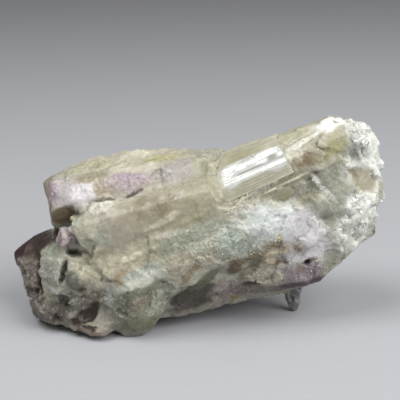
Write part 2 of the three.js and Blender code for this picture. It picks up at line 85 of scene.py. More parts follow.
def brokenGrains(points, size, seed, tilting=1.6):
    # Tilted flats one grain wide, as rock breaks along its grains. For each point it gives the height
    # there, its grain's own number from 0 to 1 and the distance from the grain's border.
    p = points / size
    home = np.floor(p)
    best = np.full(len(p), 9.0)  # farther than any grain's middle
    second = np.full(len(p), 9.0)
    height = np.zeros(len(p))
    own = np.zeros(len(p))
    for i in (-1, 0, 1):
        for j in (-1, 0, 1):
            for k in (-1, 0, 1):
                cell = home + np.array([i, j, k])
                jitter = np.stack([randomAt(cell, seed + n) for n in range(3)], 1)
                gap = p - cell - jitter
                away = np.sqrt((gap ** 2).sum(1))
                tilt = np.stack([randomAt(cell, seed + 5 + n) for n in range(3)], 1) - 0.5
                level = randomAt(cell, seed + 9)
                closer = away < best
                second = np.where(closer, best, np.minimum(second, away))
                best[closer] = away[closer]
                height[closer] = (level - 0.5 + tilting * (tilt * gap).sum(1))[closer]
                own[closer] = level[closer]
    return height, own, second - best


def ramp(value, low, high):
    # 0 below low, 1 above high, smooth between
    t = np.clip((value - low) / (high - low), 0, 1)
    return t * t * (3 - 2 * t)


def climbing(points, degrees):
    # the same points in axes of which the first climbs towards +X by so many degrees
    rise = np.radians(degrees)
    return np.stack([points[:, 0] * np.cos(rise) + points[:, 2] * np.sin(rise), points[:, 1],
                     points[:, 2] * np.cos(rise) - points[:, 0] * np.sin(rise)], 1)


def toLinear(hexColour):
    # sRGB hex to the linear colour that Blender shades with
    parts = [int(hexColour[i:i + 2], 16) / 255 for i in (1, 3, 5)]
    return tuple(c / 12.92 if c <= 0.04045 else ((c + 0.055) / 1.055) ** 2.4 for c in parts) + (1.0,)


# Meshes: points go in as millimetres and come out as metres, as Blender keeps them.

def meshObject(name, points, faces):
    mesh = bpy.data.meshes.new(name)
    mesh.from_pydata((np.asarray(points) * mm).tolist(), [], faces)
    mesh.validate()
    mesh.update()
    made = bpy.data.objects.new(name, mesh)
    bpy.context.scene.collection.objects.link(made)
    return made


def pointsOf(mesh, kind="co"):
    out = np.zeros(len(mesh.vertices) * 3, np.float32)
    mesh.vertices.foreach_get(kind, out)
    return out.reshape(-1, 3).astype(float)


def setPoints(mesh, points):
    mesh.vertices.foreach_set("co", (points * mm).astype(np.float32).ravel())
    mesh.update()


def pushOut(mesh, distance):
    setPoints(mesh, pointsOf(mesh) / mm + distance * pointsOf(mesh, "normal"))


def setColour(mesh, name, colours):
    attribute = mesh.attributes.new(name, "FLOAT_COLOR", "POINT")
    full = np.ones((len(mesh.vertices), 4), np.float32)
    full[:, :3] = colours
    attribute.data.foreach_set("color", full.ravel())


def setAmount(mesh, name, values):
    attribute = mesh.attributes.new(name, "FLOAT", "POINT")
    attribute.data.foreach_set("value", np.asarray(values, np.float32))


def evened(mesh, points, rounds, strength=0.5):
    # draws each point towards the middle of its neighbours
    edges = np.zeros(len(mesh.edges) * 2, np.int32)
    mesh.edges.foreach_get("vertices", edges)
    a, b = edges.reshape(-1, 2).T
    count = np.bincount(a, minlength=len(points)) + np.bincount(b, minlength=len(points))
    for turn in range(rounds):
        total = np.zeros_like(points)
        for axis in range(3):
            total[:, axis] += np.bincount(a, points[b, axis], len(points))
            total[:, axis] += np.bincount(b, points[a, axis], len(points))
        points = points + strength * (total / count[:, None] - points)
    return points


# Areas of the stone. Each is an ellipsoid with a wandering edge that sets colour, grain and gloss, and
# may lift the surface by some millimetres (less than nothing cuts in), streak it along the crystals or
# break it into blocks. A long one climbs towards +X by turn degrees. ragged is how far the edge wanders,
# soft widens an edge that fades out, share lets what lies under it through, and square is 2 for a round
# outline and more for one nearer to a box.

areaEdge = dict(full=0.62, gone=1.12, wander=3.2)  # full and gone are shares of the size


def area(colour, at, size, **more):
    return dict(colour=colour, at=at, size=size, **more)


def wanderOf(points, seed):
    return noiseVector(points, areaEdge["wander"], (seed, seed + 31, seed + 62))


def shareOf(points, region, wander):
    # 1 inside an area and 0 outside
    gap = climbing(points - np.array(region["at"]), region.get("turn", 0))
    gap = np.abs(gap / np.array(region["size"]) + region.get("ragged", 0.34) * wander)
    square = region.get("square", 2)
    away = (gap ** square).sum(1) ** (1 / square)
    soft = region.get("soft", 0)
    return region.get("share", 1.0) * (1 - ramp(away, areaEdge["full"] - soft, areaEdge["gone"] + soft))


def mixAreas(points, base, regions, seed):
    # lays the areas over one another in their order, and gives the colour and the amounts at each point
    colours = np.tile(np.array(toLinear(base["colour"])[:3]), (len(points), 1))
    amounts = {key: np.full(len(points), base.get(key, 0.0))
               for key in ("grain", "gloss", "lift", "streaks", "broken")}
    wander = wanderOf(points, seed)
    for region in regions.values():
        share = shareOf(points, region, wander)
        for key, values in amounts.items():
            if key == "lift":
                values += share * region.get(key, 0.0)
            else:
                values += share * (region.get(key, base.get(key, 0.0)) - values)
        colours += share[:, None] * (np.array(toLinear(region["colour"])[:3]) - colours)
    return colours, amounts


# The crystals, each where the CAD model has it: start, length, rise and yaw (degrees) give its axis.
# The section's corners are (out towards -Y, up), and stepDepths is how deep the growth steps of each
# side are cut. ends are how far the two ends lean up and in, and cuts are broken flats (point, facing).
# Only inside shown is the crystal the surface of the stone.

crystals = {
    "striatedCrystal": dict(
        start=(6.3, -5.55, 31.5), length=15.4, rise=24.5, yaw=3,
        corners=[(-3.6, 5.9), (-6.4, 2.6), (-6.5, -2.0), (-3.5, -5.5), (3.0, -5.0), (5.5, -1.8),
                 (4.9, 1.0), (1.9, 4.0)],
        stepDepths=[0.05, 0.05, 0.05, 0.05, 0.06, 0.08, 0.11, 0.06], stepWidth=0.5, swell=0.08,
        ends=((0, 0.5), (-0.1, 0)), roundEnds=(0.05, 2.0),
        shown=dict(at=(11.6, -5.0, 34.6), size=(7.9, 12, 9.0), turn=24.5, square=5, ragged=0.28,
                   soft=-0.18),
        cuts=[((19.4, 0.85, 42.15), (-0.307, 0.133, 0.95))],
        base=dict(colour="#b5b29f", grain=0.25, gloss=0.4),
        areas={
            "topLeft": area("#a6a287", (8.4, -5.4, 38.0), (5.4, 3.4, 2.4), turn=24.5, soft=0.3, gloss=0.5),
            # painted highlight: the flash face is painted pale where the key light's reflection falls, over
            # its real gloss; the darker band and notch below paint breaks in that highlight
            "flash": area("#d6d7d2", (11.6, -8.8, 36.2), (7.6, 2.6, 2.7), turn=24.5, square=5, ragged=0.05,
                soft=-0.2, grain=0.0, gloss=1.0),
            "flashBand": area("#8f908a", (12.9, -8.9, 36.7), (5.2, 2.4, 0.3), turn=24.5, ragged=0.5,
                soft=-0.1, gloss=0.7),
            "flashNotch": area("#9c9c92", (15.4, -8.4, 38.3), (1.3, 2.4, 0.6), turn=24.5, ragged=0.3,
                gloss=0.4),
            "lowerFace": area("#b3b09b", (11.6, -10.7, 33.2), (7.6, 1.6, 1.6), turn=24.5, soft=-0.1,
                grain=0.1, gloss=0.6),
            "underFace": area("#918e76", (16.4, -9.4, 32.3), (9.6, 2.4, 1.4), turn=24.5, square=4, soft=0.2,
                grain=0.1, gloss=0.8),
        }),
    "glassyCrystal": dict(
        start=(8.5, -5.95, 28.0), length=23.6, rise=24.5, yaw=3,
        corners=[(-3.0, 4.6), (-5.0, 0.0), (-2.0, -5.0), (3.6, -3.6), (4.9, 0.9), (3.0, 4.2)],
        stepDepths=[0.05] * 6, stepWidth=0.5, swell=0.3,
        ends=((0.2, 0), (0.1, 0)), roundEnds=(1.5, 3), cuts=[],
        shown=dict(at=(13.6, -8.5, 27.9), size=(8.0, 8, 3.3), turn=24.5, square=2, ragged=0.9, soft=0.2),
        base=dict(colour="#bab79f", grain=0.4, gloss=0.7),
        areas={
            "darkEnd": area("#aaa68c", (12.5, -10.6, 30.4), (5.0, 3.0, 1.8), turn=24.5, soft=0.2, gloss=0.9),
            "fissure": area("#d9d6c3", (17.2, -10.2, 32.4), (5.4, 2.4, 0.24), turn=22.9, ragged=0.1,
                grain=0.5),
            "olive": area("#aeaa8a", (18.0, -10.4, 30.8), (3.0, 2.6, 1.4), turn=24.5, soft=0.3, gloss=0.8),
            "greyVeil": area("#b9baad", (22.4, -10.2, 32.4), (2.8, 2.6, 3.6), ragged=0.9, grain=0.8),
            "whiteVein": area("#dcdcd2", (24.2, -9.8, 33.2), (4.8, 2.8, 0.45), turn=-48, ragged=0.4,
                grain=0.9),
        }),
    "farCrystal": dict(
        start=(-22.1, 10.05, 17.6), length=50, rise=16.5, yaw=-3,
        corners=[(2.5, 5.2), (-3.0, 5.0), (-5.6, 2.0), (-5.4, -2.6), (-2.6, -5.2), (3.0, -5.0), (5.2, -1.5)],
        stepDepths=[0.06] * 7, stepWidth=0.55, swell=0.45,
        ends=((0.2, 0.2), (-0.4, -0.3)), roundEnds=(1, 1), cuts=[],
        shown=dict(at=(2.0, 12.0, 25.4), size=(27, 12, 7.6), turn=16.5, square=4, ragged=0.3),
        base=dict(colour="#b4b099", grain=0.3, gloss=0.5),
        areas={
            "brown": area("#988a6f", (12, 13, 27), (7, 6, 4), turn=16.5, ragged=0.8, grain=0.7),
            "white": area("#d3d2c4", (-10, 13, 22), (7, 6, 4), turn=16.5, ragged=0.7, grain=0.6),
            "olive": area("#a3a07a", (22, 13, 31), (5, 6, 4), turn=16.5, ragged=0.5),
        }),
}


growth = dict(
    ringSpacing=0.4,  # of the crystals' meshes
    stepFlat=0.82,  # share of a step's width that is flat
    stepLength=6.0,  # how far a step runs on
    blunt=0.25,  # share of the width left at a rounded end
    sunk=0.12,  # how far a crystal lies inside the CAD one, before it swells
    waveSize=5.0,
    chips=0.22, chipSize=1.3, dents=0.3, dentSize=3.4,  # relief of the grainy parts
    cuts=0.12, cutSize=2.0,  # unevenness of a broken flat
    mottle=0.1, mottleSize=2.2, chipTone=0.12, fineTone=0.2, fineSize=1.1,  # unevenness of colour
)


def crystalAxes(spec):
    rise, yaw = np.radians([spec["rise"], spec["yaw"]])
    along = np.array([np.cos(rise) * np.cos(yaw), np.cos(rise) * np.sin(yaw), np.sin(rise)])
    out = np.array([np.sin(yaw), -np.cos(yaw), 0])
    up = np.array([-np.sin(rise) * np.cos(yaw), -np.sin(rise) * np.sin(yaw), np.cos(rise)])
    return along, out, up


def steppedSection(spec):
    # the section's points, the way into the crystal at each, which step it is on and how deep that goes
    corners = np.array(spec["corners"])
    section, inwards, steps, depths = [], [], [], []
    for n, corner in enumerate(corners):
        side = corners[(n + 1) % len(corners)] - corner
        length = np.linalg.norm(side)
        pieces = max(2, round(length / spec["stepWidth"]))
        for k in range(pieces):
            for offset in (0.0, growth["stepFlat"]):
                section.append(corner + side * (k + offset) / pieces)
                inwards.append(np.array([-side[1], side[0]]) / length)
                steps.append((n, 2 * k + (offset > 0), 3))
                depths.append(spec["stepDepths"][n] if (k or offset) else 0)
    return map(np.array, (section, inwards, steps, depths))


def growCrystal(name, spec, seed):
    # a prism whose faces carry fine growth steps that run along it, each step ending here and there
    section, inwards, steps, depths = steppedSection(spec)
    wide = len(section)
    rows = int(spec["length"] / growth["ringSpacing"])
    along, out, up = crystalAxes(spec)
    rings = []
    for row in range(rows + 1):
        t = row / rows
        block = np.floor(t * spec["length"] / growth["stepLength"] + randomAt(steps, seed + 5))
        sunk = randomAt(steps + np.stack([0 * block, 0 * block, block], 1), seed) * depths
        ring = section + inwards * sunk[:, None]
        fromEnd = [t * spec["length"], (1 - t) * spec["length"]]
        for gap, reach in zip(fromEnd, spec["roundEnds"]):
            if gap < reach:
                rounding = np.sqrt(1 - (1 - gap / reach) ** 2)
                ring = ring * (growth["blunt"] + (1 - growth["blunt"]) * rounding)
        leanUp = spec["ends"][0][0] * (1 - t) + spec["ends"][1][0] * t
        leanIn = spec["ends"][0][1] * (1 - t) + spec["ends"][1][1] * t
        distance = t * spec["length"] + leanUp * ring[:, 1] - leanIn * ring[:, 0]
        rings.append(np.array(spec["start"]) + distance[:, None] * along + ring[:, :1] * out
                     + ring[:, 1:] * up)
    faces = []
    for row in range(rows):
        for k in range(wide):
            a, b = row * wide + k, row * wide + (k + 1) % wide
            faces.append((a, b, b + wide, a + wide))
    faces.append(tuple(reversed(range(wide))))
    faces.append(tuple(rows * wide + k for k in range(wide)))
    points = np.concatenate(rings)
    made = meshObject(name, points, faces)
    tidy = bmesh.new()
    tidy.from_mesh(made.data)
    bmesh.ops.recalc_face_normals(tidy, faces=tidy.faces)
    bmesh.ops.triangulate(tidy, faces=[f for f in tidy.faces if len(f.verts) > 4])
    tidy.to_mesh(made.data)
    tidy.free()
    # worn and broken where it is grainy, smooth elsewhere
    colours, amounts = mixAreas(points, spec["base"], spec["areas"], seed + 3)
    grain = amounts["grain"]
    chips, levels = brokenGrains(points, growth["chipSize"], seed + 20)[:2]
    dents = growth["chips"] * (0.5 + chips)
    dents = dents + growth["dents"] * (0.8 + layeredNoise(points, growth["dentSize"], seed + 9))
    wave = spec["swell"] * layeredNoise(points, growth["waveSize"], seed) - growth["sunk"]
    wave = wave - ramp(grain, 0.4, 0.9) * dents
    points = points + pointsOf(made.data, "normal") * wave[:, None]
    for at, facing in spec["cuts"]:
        facing = np.array(facing) / np.linalg.norm(facing)
        over = (points - np.array(at)) @ facing
        over = over + growth["cuts"] * layeredNoise(points, growth["cutSize"], seed + 40)
        points = points - np.maximum(over, 0)[:, None] * facing
    setPoints(made.data, points)
    mottle = growth["chipTone"] * (levels - 0.5)
    mottle = mottle + growth["fineTone"] * layeredNoise(points, growth["fineSize"], seed + 66)
    mottle = 1 + growth["mottle"] * layeredNoise(points, growth["mottleSize"], seed + 60) + grain * mottle
    setColour(made.data, "paint", np.clip(colours * mottle[:, None], 0, 0.95))
    setAmount(made.data, "grain", grain)
    setAmount(made.data, "gloss", amounts["gloss"])
    return made


crystalPieces = {}
for number, (name, spec) in enumerate(crystals.items()):
    crystalPieces[name] = growCrystal(name, spec, 11 + number)
print("crystals grown")


# The rock between the crystals. It is the CAD stone with its cracks closed, shaped and painted.

rock = dict(
    voxel=0.4,  # spacing of the rock's mesh
    closing=0.9,  # cracks narrower than twice this close up
    lumps=0.35, lumpSize=6.0,  # height and size of its broad unevenness
    blocks=0.5, blockSize=3.4, blockShare=0.25,  # of the broken blocks, with their share where it is smooth
    bend=0.5, bendSize=2.6,  # how far the blocks' borders bend
    grains=0.16, grainSize=1.0,  # of the broken grains
    streaks=0.26, streakRise=20, streakSize=(9.0, 1.6, 0.7),  # growth streaks that run with the crystals
    drawnBack=0.8,  # how far it lies under a crystal that is the surface
    nearCrystal=0.45, alongside=0.6,  # what counts as the same surface: distance and likeness of facing
    floorFrom=0.4, floorTo=2.4,  # the bottom stays as the CAD model has it
    base=dict(colour="#9a9888", grain=0.6, gloss=0.3),
)
rockTones = dict(
    grains=0.14, blocks=0.08, clouds=0.12, cloudSize=2.4, streaks=0.2,
    hollows=0.36,  # painted shade: hollows are painted darker, as little light gets into them
    edges=0.1,  # convex edges are made paler
    cracks=0.16, crackSize=5.0,  # here and there the blocks' borders are dirty too
)

rockAreas = {
    # far side and underside first, then the side towards the camera
    # painted shade: the underside is painted darker all along the bottom
    "underStoneShade": area("#6b655c", (0, 0, 2), (48, 20, 9), share=0.6, grain=0.5),
    "farLilac": area("#a79ea8", (18, 12, 20), (14, 9, 10), share=0.9, grain=0.9),
    "farWhite": area("#c4c6be", (-6, 14, 16), (11, 7, 7), share=0.8, grain=1.0),
    "farGreen": area("#9a9d84", (-22, 12, 14), (12, 8, 9), share=0.8),
    # upper left slab: pale and streaky on top, lilac in front, with a dark bevel under its left end
    "slabTop": area("#aaa592", (-16, 1, 36), (17, 8, 5), grain=0.3, gloss=0.4, streaks=1.0),
    "slabTopStreak": area("#a09b70", (-6.4, -1.6, 36.9), (7.5, 2.4, 0.9), turn=9, ragged=0.7, share=0.7,
        grain=0.2, streaks=1.0),
    "slabTopPale": area("#bdb9a6", (-12.4, 1.0, 37.0), (6, 3, 0.9), turn=8, streaks=1.0),
    "slabTopLeft": area("#a5a28a", (-22.0, -0.6, 34.6), (7, 3, 1.6), turn=18, streaks=1.0),
    "slabLilac": area("#bab3b2", (-26.4, -6.0, 29.8), (8.0, 4.6, 3.8), ragged=0.7, soft=0.2, grain=0.45,
        gloss=0.4),
    "slabWhite": area("#ccc7c7", (-23.2, -6.8, 30.8), (3.2, 3, 1.8), turn=10, grain=0.4, gloss=0.4),
    "slabEdgeLilac": area("#a99aa2", (-30.6, -4.0, 29.4), (1.6, 3.6, 2.6), grain=0.8),
    "slabYellow": area("#938c77", (-22.6, -5.0, 32.8), (5.0, 3, 1.0), turn=8, grain=0.4, streaks=0.4),
    "slabBrown": area("#9a9079", (-18.8, -6.8, 31.4), (2.6, 3, 2.2), grain=0.4),
    # the cloudy crystal across the middle
    "middleBody": area("#989381", (-8.2, -10.0, 27.2), (16.6, 8, 6.6), turn=16.5, square=3, grain=0.16,
        gloss=0.6, streaks=0.5),
    "middleTop": area("#a09b89", (-10.0, -8.6, 30.4), (13.0, 5, 2.0), turn=15, soft=0.2, grain=0.3,
        gloss=0.4),
    "middleBrown": area("#857d68", (-8.0, -12.0, 28.4), (7.4, 4, 2.6), turn=16.5, ragged=1.0, soft=0.3,
        grain=0.3, gloss=0.5),
    "middleClear": area("#968f80", (-17.0, -12.4, 24.6), (5.0, 4, 4.2), turn=16.5, soft=0.2, grain=0.05,
        gloss=0.7),
    "middleGrey": area("#8f9083", (-19.0, -12.0, 23.0), (2.4, 4, 2.8), ragged=0.9, soft=0.2, grain=0.3),
    "middleOlive": area("#9a967f", (1.6, -11.6, 30.6), (5.4, 4, 4.0), turn=16.5, soft=0.2, grain=0.05,
        gloss=0.7),
    "middleOliveLow": area("#908b70", (-1.4, -12.8, 26.6), (6.0, 3, 1.4), turn=18, ragged=0.6, share=0.7,
        grain=0.2, gloss=0.6),
    "middleFlakes": area("#b9b49f", (-8.6, -12.8, 24.9), (3.8, 2, 0.6), turn=26, ragged=0.9, soft=0.2,
        grain=0.8),
    "middleStreaks": area("#b3ae98", (-5.2, -12.4, 27.0), (4.6, 2.4, 0.8), turn=30, ragged=0.9, share=0.7,
        grain=0.4, gloss=0.5, lift=0.1, streaks=0.8),
    "middleLowStreaks": area("#a8a388", (0.4, -12.6, 27.4), (4.8, 2.4, 0.7), turn=26, ragged=0.9, share=0.7,
        grain=0.4, gloss=0.5, streaks=0.8),
    "purpleBand": area("#9f9394", (-13.4, -7.0, 32.6), (5.4, 4, 2.5), turn=6, ragged=0.8, soft=0.2,
        grain=0.6, gloss=0.4),
    "purpleDeep": area("#a08f9c", (-14.6, -6.4, 33.6), (3.0, 3, 1.0), turn=4, ragged=1.2, share=0.6,
        grain=0.8),
    "purpleBandRight": area("#9a948f", (-3.0, -6, 35.2), (6.4, 4, 2.1), turn=12, ragged=0.9, soft=0.2,
        grain=0.6, gloss=0.4),
    "oliveMeeting": area("#a09d87", (2.6, -5.4, 34.8), (4.4, 4, 3.6), ragged=0.5, grain=0.3, gloss=0.5),
    "bandCrack": area("#4d4540", (-12.7, -8.2, 30.5), (2.4, 2.4, 0.32), turn=20, grain=0.2, lift=-0.4),
    "ledgeCrack": area("#3e342a", (-18.7, -8.0, 29.2), (2.8, 2.6, 0.36), turn=4, grain=0.2, lift=-0.5),
    "ledgeGranules": area("#c3bfb0", (-19.4, -9.6, 27.9), (3.6, 3, 1.5), turn=14, grain=1.0, lift=0.3),
    "bevel": area("#6f5c45", (-27.0, -4.5, 24.9), (5.6, 5, 2.7), turn=20, grain=0.1, gloss=0.5),
    "bevelLight": area("#7a6f57", (-28.2, -4.6, 25.6), (2.4, 3, 1.6), turn=30, grain=0.1, gloss=0.6),
    "slabEnd": area("#6d6250", (-31.6, -1, 28), (1.5, 6, 6), share=0.7, grain=0.2),
    "smallCrystal": area("#8f8a6c", (-25.2, -8.4, 25.6), (1.0, 2.2, 0.8), grain=0.1, gloss=0.8, lift=0.7),
    "slabShadow": area("#40362a", (-23.4, -7.4, 26.6), (2.6, 3, 0.7), turn=22, grain=0.2, lift=-0.6),
    # left end: maroon tip, a pale slab between a groove and a slit, and the heap round them
    "tipMaroon": area("#2f211c", (-35.5, 0.5, 16.8), (8, 7, 4.6), grain=0.1, gloss=0.6),
    "tipPurple": area("#33191e", (-39, 0, 13.5), (3.8, 6, 4.8), grain=0.1, gloss=0.6),
    "pinkGrey": area("#7f7469", (-35.8, -3.2, 10.6), (3.9, 5, 5.4), grain=1.0, lift=0.3, broken=0.9),
    "leftLow": area("#574e49", (-34.5, -4, 4.2), (5, 6, 4.5), share=0.9, grain=0.8, broken=0.9),
    "greySlab": area("#9b9a8d", (-30.2, -10.0, 14.4), (2.9, 4, 7.4), turn=84, ragged=0.2, grain=0.95,
        lift=0.4, broken=0.3),
    "greySlabTop": area("#868a7b", (-30.6, -8.6, 19.2), (2.6, 4, 2.6), grain=0.7),
    # painted shade: the groove is painted near black for the shade in it
    "groove": area("#2f2c22", (-33.3, -5.4, 11.6), (5.2, 3.0, 0.75), turn=93, ragged=0.16, grain=0.1,
        lift=-1.0),
    "lilacLump": area("#b3a7a5", (-26.8, -9.9, 21.8), (3.2, 3.6, 3.2), ragged=0.5, grain=0.8, lift=0.3,
        broken=0.9),
    "lilacLumpCorner": area("#bfb5b2", (-26.0, -10.4, 23.4), (1.6, 2.4, 0.9), turn=-20, grain=0.5, lift=0.7),
    "lilacLumpSide": area("#857777", (-28.4, -9.8, 21.4), (0.9, 2.4, 1.8), turn=10, grain=0.4, lift=-0.6),
    "lilacLumpDark": area("#6d5f5c", (-24.4, -9.8, 21.6), (0.7, 3, 1.9), grain=0.5, lift=-0.4),
    # painted shade: the pit and its tail are painted near black for the shade inside them
    "slabPit": area("#2f231a", (-25.0, -9.0, 18.4), (2.0, 4, 1.15), ragged=0.6, grain=0.1, lift=-1.2),
    "slabPitTail": area("#40352a", (-22.8, -11.2, 18.7), (1.7, 3, 0.38), turn=-14, grain=0.1, lift=-0.5),
    "roundLump": area("#5c5a50", (-24.8, -13.8, 13.5), (2.2, 3, 2.7), turn=60, grain=0.5, gloss=0.6,
        lift=0.5),
    # painted shade: the slit is painted near black for the shade inside it
    "slit": area("#2b2821", (-27.5, -11.6, 14.2), (2.9, 3, 0.65), turn=76, ragged=0.5, grain=0.1, lift=-0.8),
    # painted shade: the hole under the lump is painted dark
    "holeUnderLump": area("#3d382f", (-23.7, -12.6, 11.2), (1.2, 3, 0.7), turn=30, ragged=0.6, grain=0.1,
        lift=-0.7),
    "speckledBand": area("#77736a", (-25.4, -12.6, 8.3), (5.6, 4, 2.0), turn=-8, share=0.9, grain=1.0,
        broken=0.9),
    "whiteStrip": area("#bcbdb6", (-29.0, -12.0, 10.0), (3.4, 3, 0.8), turn=-14, share=0.8, grain=0.9),
    "paleHeap": area("#a8a48e", (-20.8, -12.4, 16.4), (4.6, 4, 4.4), grain=0.6, broken=0.4),
    "heapWhite": area("#c2bfa9", (-18.6, -13.2, 17.0), (3.6, 3, 1.2), turn=24, share=0.8, grain=0.6),
    "lowHeap": area("#776e60", (-20.4, -13.0, 9.6), (4.2, 4, 2.8), share=0.9, grain=0.7, broken=0.9),
    # dark brown, with painted shade under its overhang
    "cave": area("#33261a", (-22.6, -13.4, 5.8), (3.4, 4, 1.9), turn=34, ragged=1.1, grain=0.1, lift=-0.7),
    "footPink": area("#7a6c60", (-21.6, -12.8, 1.6), (5.0, 4, 1.8), share=0.8, grain=0.9, broken=0.9),
    "lowLeftDark": area("#4f4740", (-29.4, -10.0, 4.6), (5.4, 4, 3.0), share=0.8, grain=0.8, broken=0.9),
    # nose and crest
    "nose": area("#828470", (-12.6, -15.4, 7.6), (7.0, 5, 7.6), grain=0.95, gloss=0.4),
    "noseFoot": area("#66644f", (-10.6, -14.6, 3.2), (5.4, 4, 3.0), share=0.8, grain=0.2, gloss=0.5),
    "nosePink": area("#837868", (-11.0, -16.0, 9.4), (3.2, 3, 2.2), turn=30, ragged=0.7, share=0.8,
        grain=0.7),
    "noseLeftWhite": area("#a9ada4", (-17.8, -13.8, 10.4), (0.9, 3, 3.0), turn=4, share=0.8, grain=0.8),
    "noseEdge": area("#9a9c8b", (-7.4, -14.4, 9.6), (5.0, 3, 1.3), turn=60, share=0.8, grain=0.9),
    "ledge": area("#9b9580", (-12.6, -14.2, 18.6), (8.2, 4, 3.2), turn=12, ragged=0.6, grain=0.5),
    "ledgeFlakes": area("#b4ae97", (-12.8, -14.0, 19.0), (6.4, 2.6, 0.7), turn=22, ragged=0.9, share=0.85,
        grain=0.6, lift=0.25, streaks=1.0),
    "ledgeFlakesLow": area("#aba591", (-15.6, -14.2, 16.8), (4.0, 2.6, 0.6), turn=30, ragged=0.9, share=0.85,
        grain=0.6, lift=0.2, streaks=1.0),
    "ledgeBrown": area("#85765d", (-13.8, -15.0, 15.2), (3.2, 3, 1.6), turn=14, ragged=0.8, share=0.9,
        grain=0.3),
    "ledgePit": area("#5f6156", (-10.2, -14.6, 16.6), (1.6, 3, 0.6), turn=10, grain=0.4, lift=-0.3),
    "crestGreen": area("#9ca196", (-9.2, -15.2, 16.2), (6.4, 3.4, 1.8), turn=18, grain=0.7),
    "crestWhite": area("#b7b6aa", (-10.4, -16.0, 14.4), (7.4, 3.0, 1.2), turn=20, ragged=1.0, soft=0.35,
        grain=0.4, gloss=0.3, lift=0.1),
    "underCrest": area("#646857", (-11.4, -16.0, 12.0), (5.6, 3.0, 1.2), turn=22, share=0.8, grain=0.8),
    "ridgeBeige": area("#a29c89", (-1.2, -15.8, 18.4), (7.6, 4, 3.8), turn=30, grain=0.8),
    "ridgeGreen": area("#7e8070", (1.0, -13.8, 23.2), (11.0, 4.4, 2.6), turn=14, grain=0.6),
    "ridgeCrest": area("#a0a090", (2.4, -15.2, 22.0), (4.6, 3.4, 1.2), turn=30, grain=0.9, lift=0.3),
    "greenRight": area("#9ba194", (9.4, -13.8, 22.8), (6.6, 4.4, 4.2), grain=0.9),
    "beigeMeeting": area("#b3ae9c", (8.6, -12.4, 27.8), (4.4, 3.6, 2.4), grain=0.9),
    "ridgeBrown": area("#7d6e55", (-1.4, -15.0, 15.4), (5.0, 3.4, 1.1), turn=38, ragged=1.0, share=0.8,
        grain=0.8),
    "darkFace": area("#3d382b", (-0.6, -11.0, 9.4), (7.4, 4.4, 6.4), soft=-0.1, grain=0.1, gloss=0.7,
        broken=0.2),
    "greenFace": area("#56563f", (2.0, -12.8, 13.4), (5.4, 3.6, 1.5), turn=42, soft=-0.1, share=0.9,
        grain=0.0, gloss=0.7),
    "darkFaceLilac": area("#5c5252", (-3.6, -8.8, 6.6), (3.6, 3.6, 1.8), share=0.7, grain=0.2),
    "darkSpot": area("#4d3f2a", (8.2, -11.4, 15.4), (2.2, 3.6, 2.6), share=0.9, grain=0.2),
    "pinkFace": area("#7b706d", (6.8, -8.4, 9.6), (6.0, 4.2, 3.0), grain=0.9, streaks=1.0),
    "pinkBright": area("#958c86", (6.0, -8.6, 10.6), (2.8, 3.2, 1.4), turn=30, ragged=0.6, share=0.7,
        grain=0.6),
    "amberSpot": area("#7d6746", (8.2, -6.8, 6.9), (1.1, 1.8, 0.9), share=0.9, grain=0.2),
    "cornerNotch": area("#8d8976", (7.4, -11.8, 30.4), (3.4, 2.4, 1.3), turn=24, grain=0.3, lift=-0.9),
    # the end of the striated crystal, broken through and grown together with the glassy one under it
    "crystalTop": area("#a6a38c", (20.6, -4.6, 42.2), (9.0, 4.4, 2.2), turn=22, grain=0.25, gloss=0.4,
        streaks=0.6),
    "brokenFace": area("#a29d8a", (24.8, -9.6, 39.6), (8.0, 3.6, 4.4), turn=24.5, square=4, ragged=0.24,
        grain=0.6, gloss=0.3),
    "brokenBrown": area("#8a806a", (22.4, -9.6, 38.6), (4.8, 3.4, 2.6), turn=20, ragged=0.9, soft=0.3,
        grain=0.6, gloss=0.3),
    "brokenSpots": area("#7d6f57", (22.6, -9.9, 37.7), (2.6, 2.6, 1.2), turn=30, ragged=1.2, soft=0.1,
        grain=0.6),
    "brokenPale": area("#bcb8a8", (20.4, -9.0, 39.6), (3.2, 2.6, 1.2), turn=24.5, ragged=1.0, share=0.8,
        grain=0.65, gloss=0.3),
    "brokenOlive": area("#95926d", (27.6, -9.3, 40.6), (3.2, 3.2, 2.6), turn=50, ragged=0.7, soft=0.3,
        grain=0.62, gloss=0.4),
    "breakLine": area("#c6c3b2", (18.6, -9.4, 38.4), (0.8, 2.6, 3.0), ragged=1.0, grain=0.8, gloss=0.4),
    # painted highlight: a pale band where the top edge catches the light
    "edgeHighlight": area("#d0cec1", (21.6, -7.7, 41.5), (4.4, 1.8, 0.6), turn=31, ragged=1.0, grain=0.6,
        gloss=0.5, lift=0.2),
    # painted highlight: the shoulder is painted near white where it catches the light
    "shoulder": area("#e4e4dd", (27.4, -6.2, 45.0), (5.0, 3.4, 1.6), turn=20, ragged=0.5, grain=0.6,
        gloss=0.7),
    "shoulderEnd": area("#c9c8bd", (31.4, -8.4, 42.4), (1.4, 4.0, 4.0), turn=10, ragged=0.7, grain=0.7,
        gloss=0.6),
    "fissureShade": area("#89856f", (18.0, -10.2, 33.2), (8.0, 3.0, 1.3), turn=25.5, ragged=0.4, soft=0.1,
        grain=0.2, gloss=0.7),
    "fissure": area("#d6d3c0", (18.4, -10.2, 33.4), (6.4, 2.6, 0.22), turn=25.5, ragged=0.12, grain=0.3,
        gloss=0.5),
    "fissureUp": area("#a7a492", (26.8, -9.6, 37.9), (4.6, 3.0, 1.2), turn=30, ragged=1.1, grain=0.5,
        gloss=0.4, lift=0.15),
    "meltedEnd": area("#9c998a", (25.6, -9.0, 34.6), (4.0, 4.0, 2.6), turn=25, ragged=0.8, grain=0.4,
        gloss=0.6, lift=0.4, broken=0.3),
    "meltedDark": area("#7d7965", (25.0, -9.4, 34.0), (2.8, 3.0, 1.7), turn=30, ragged=1.0, grain=0.3,
        gloss=0.7, broken=0.4),
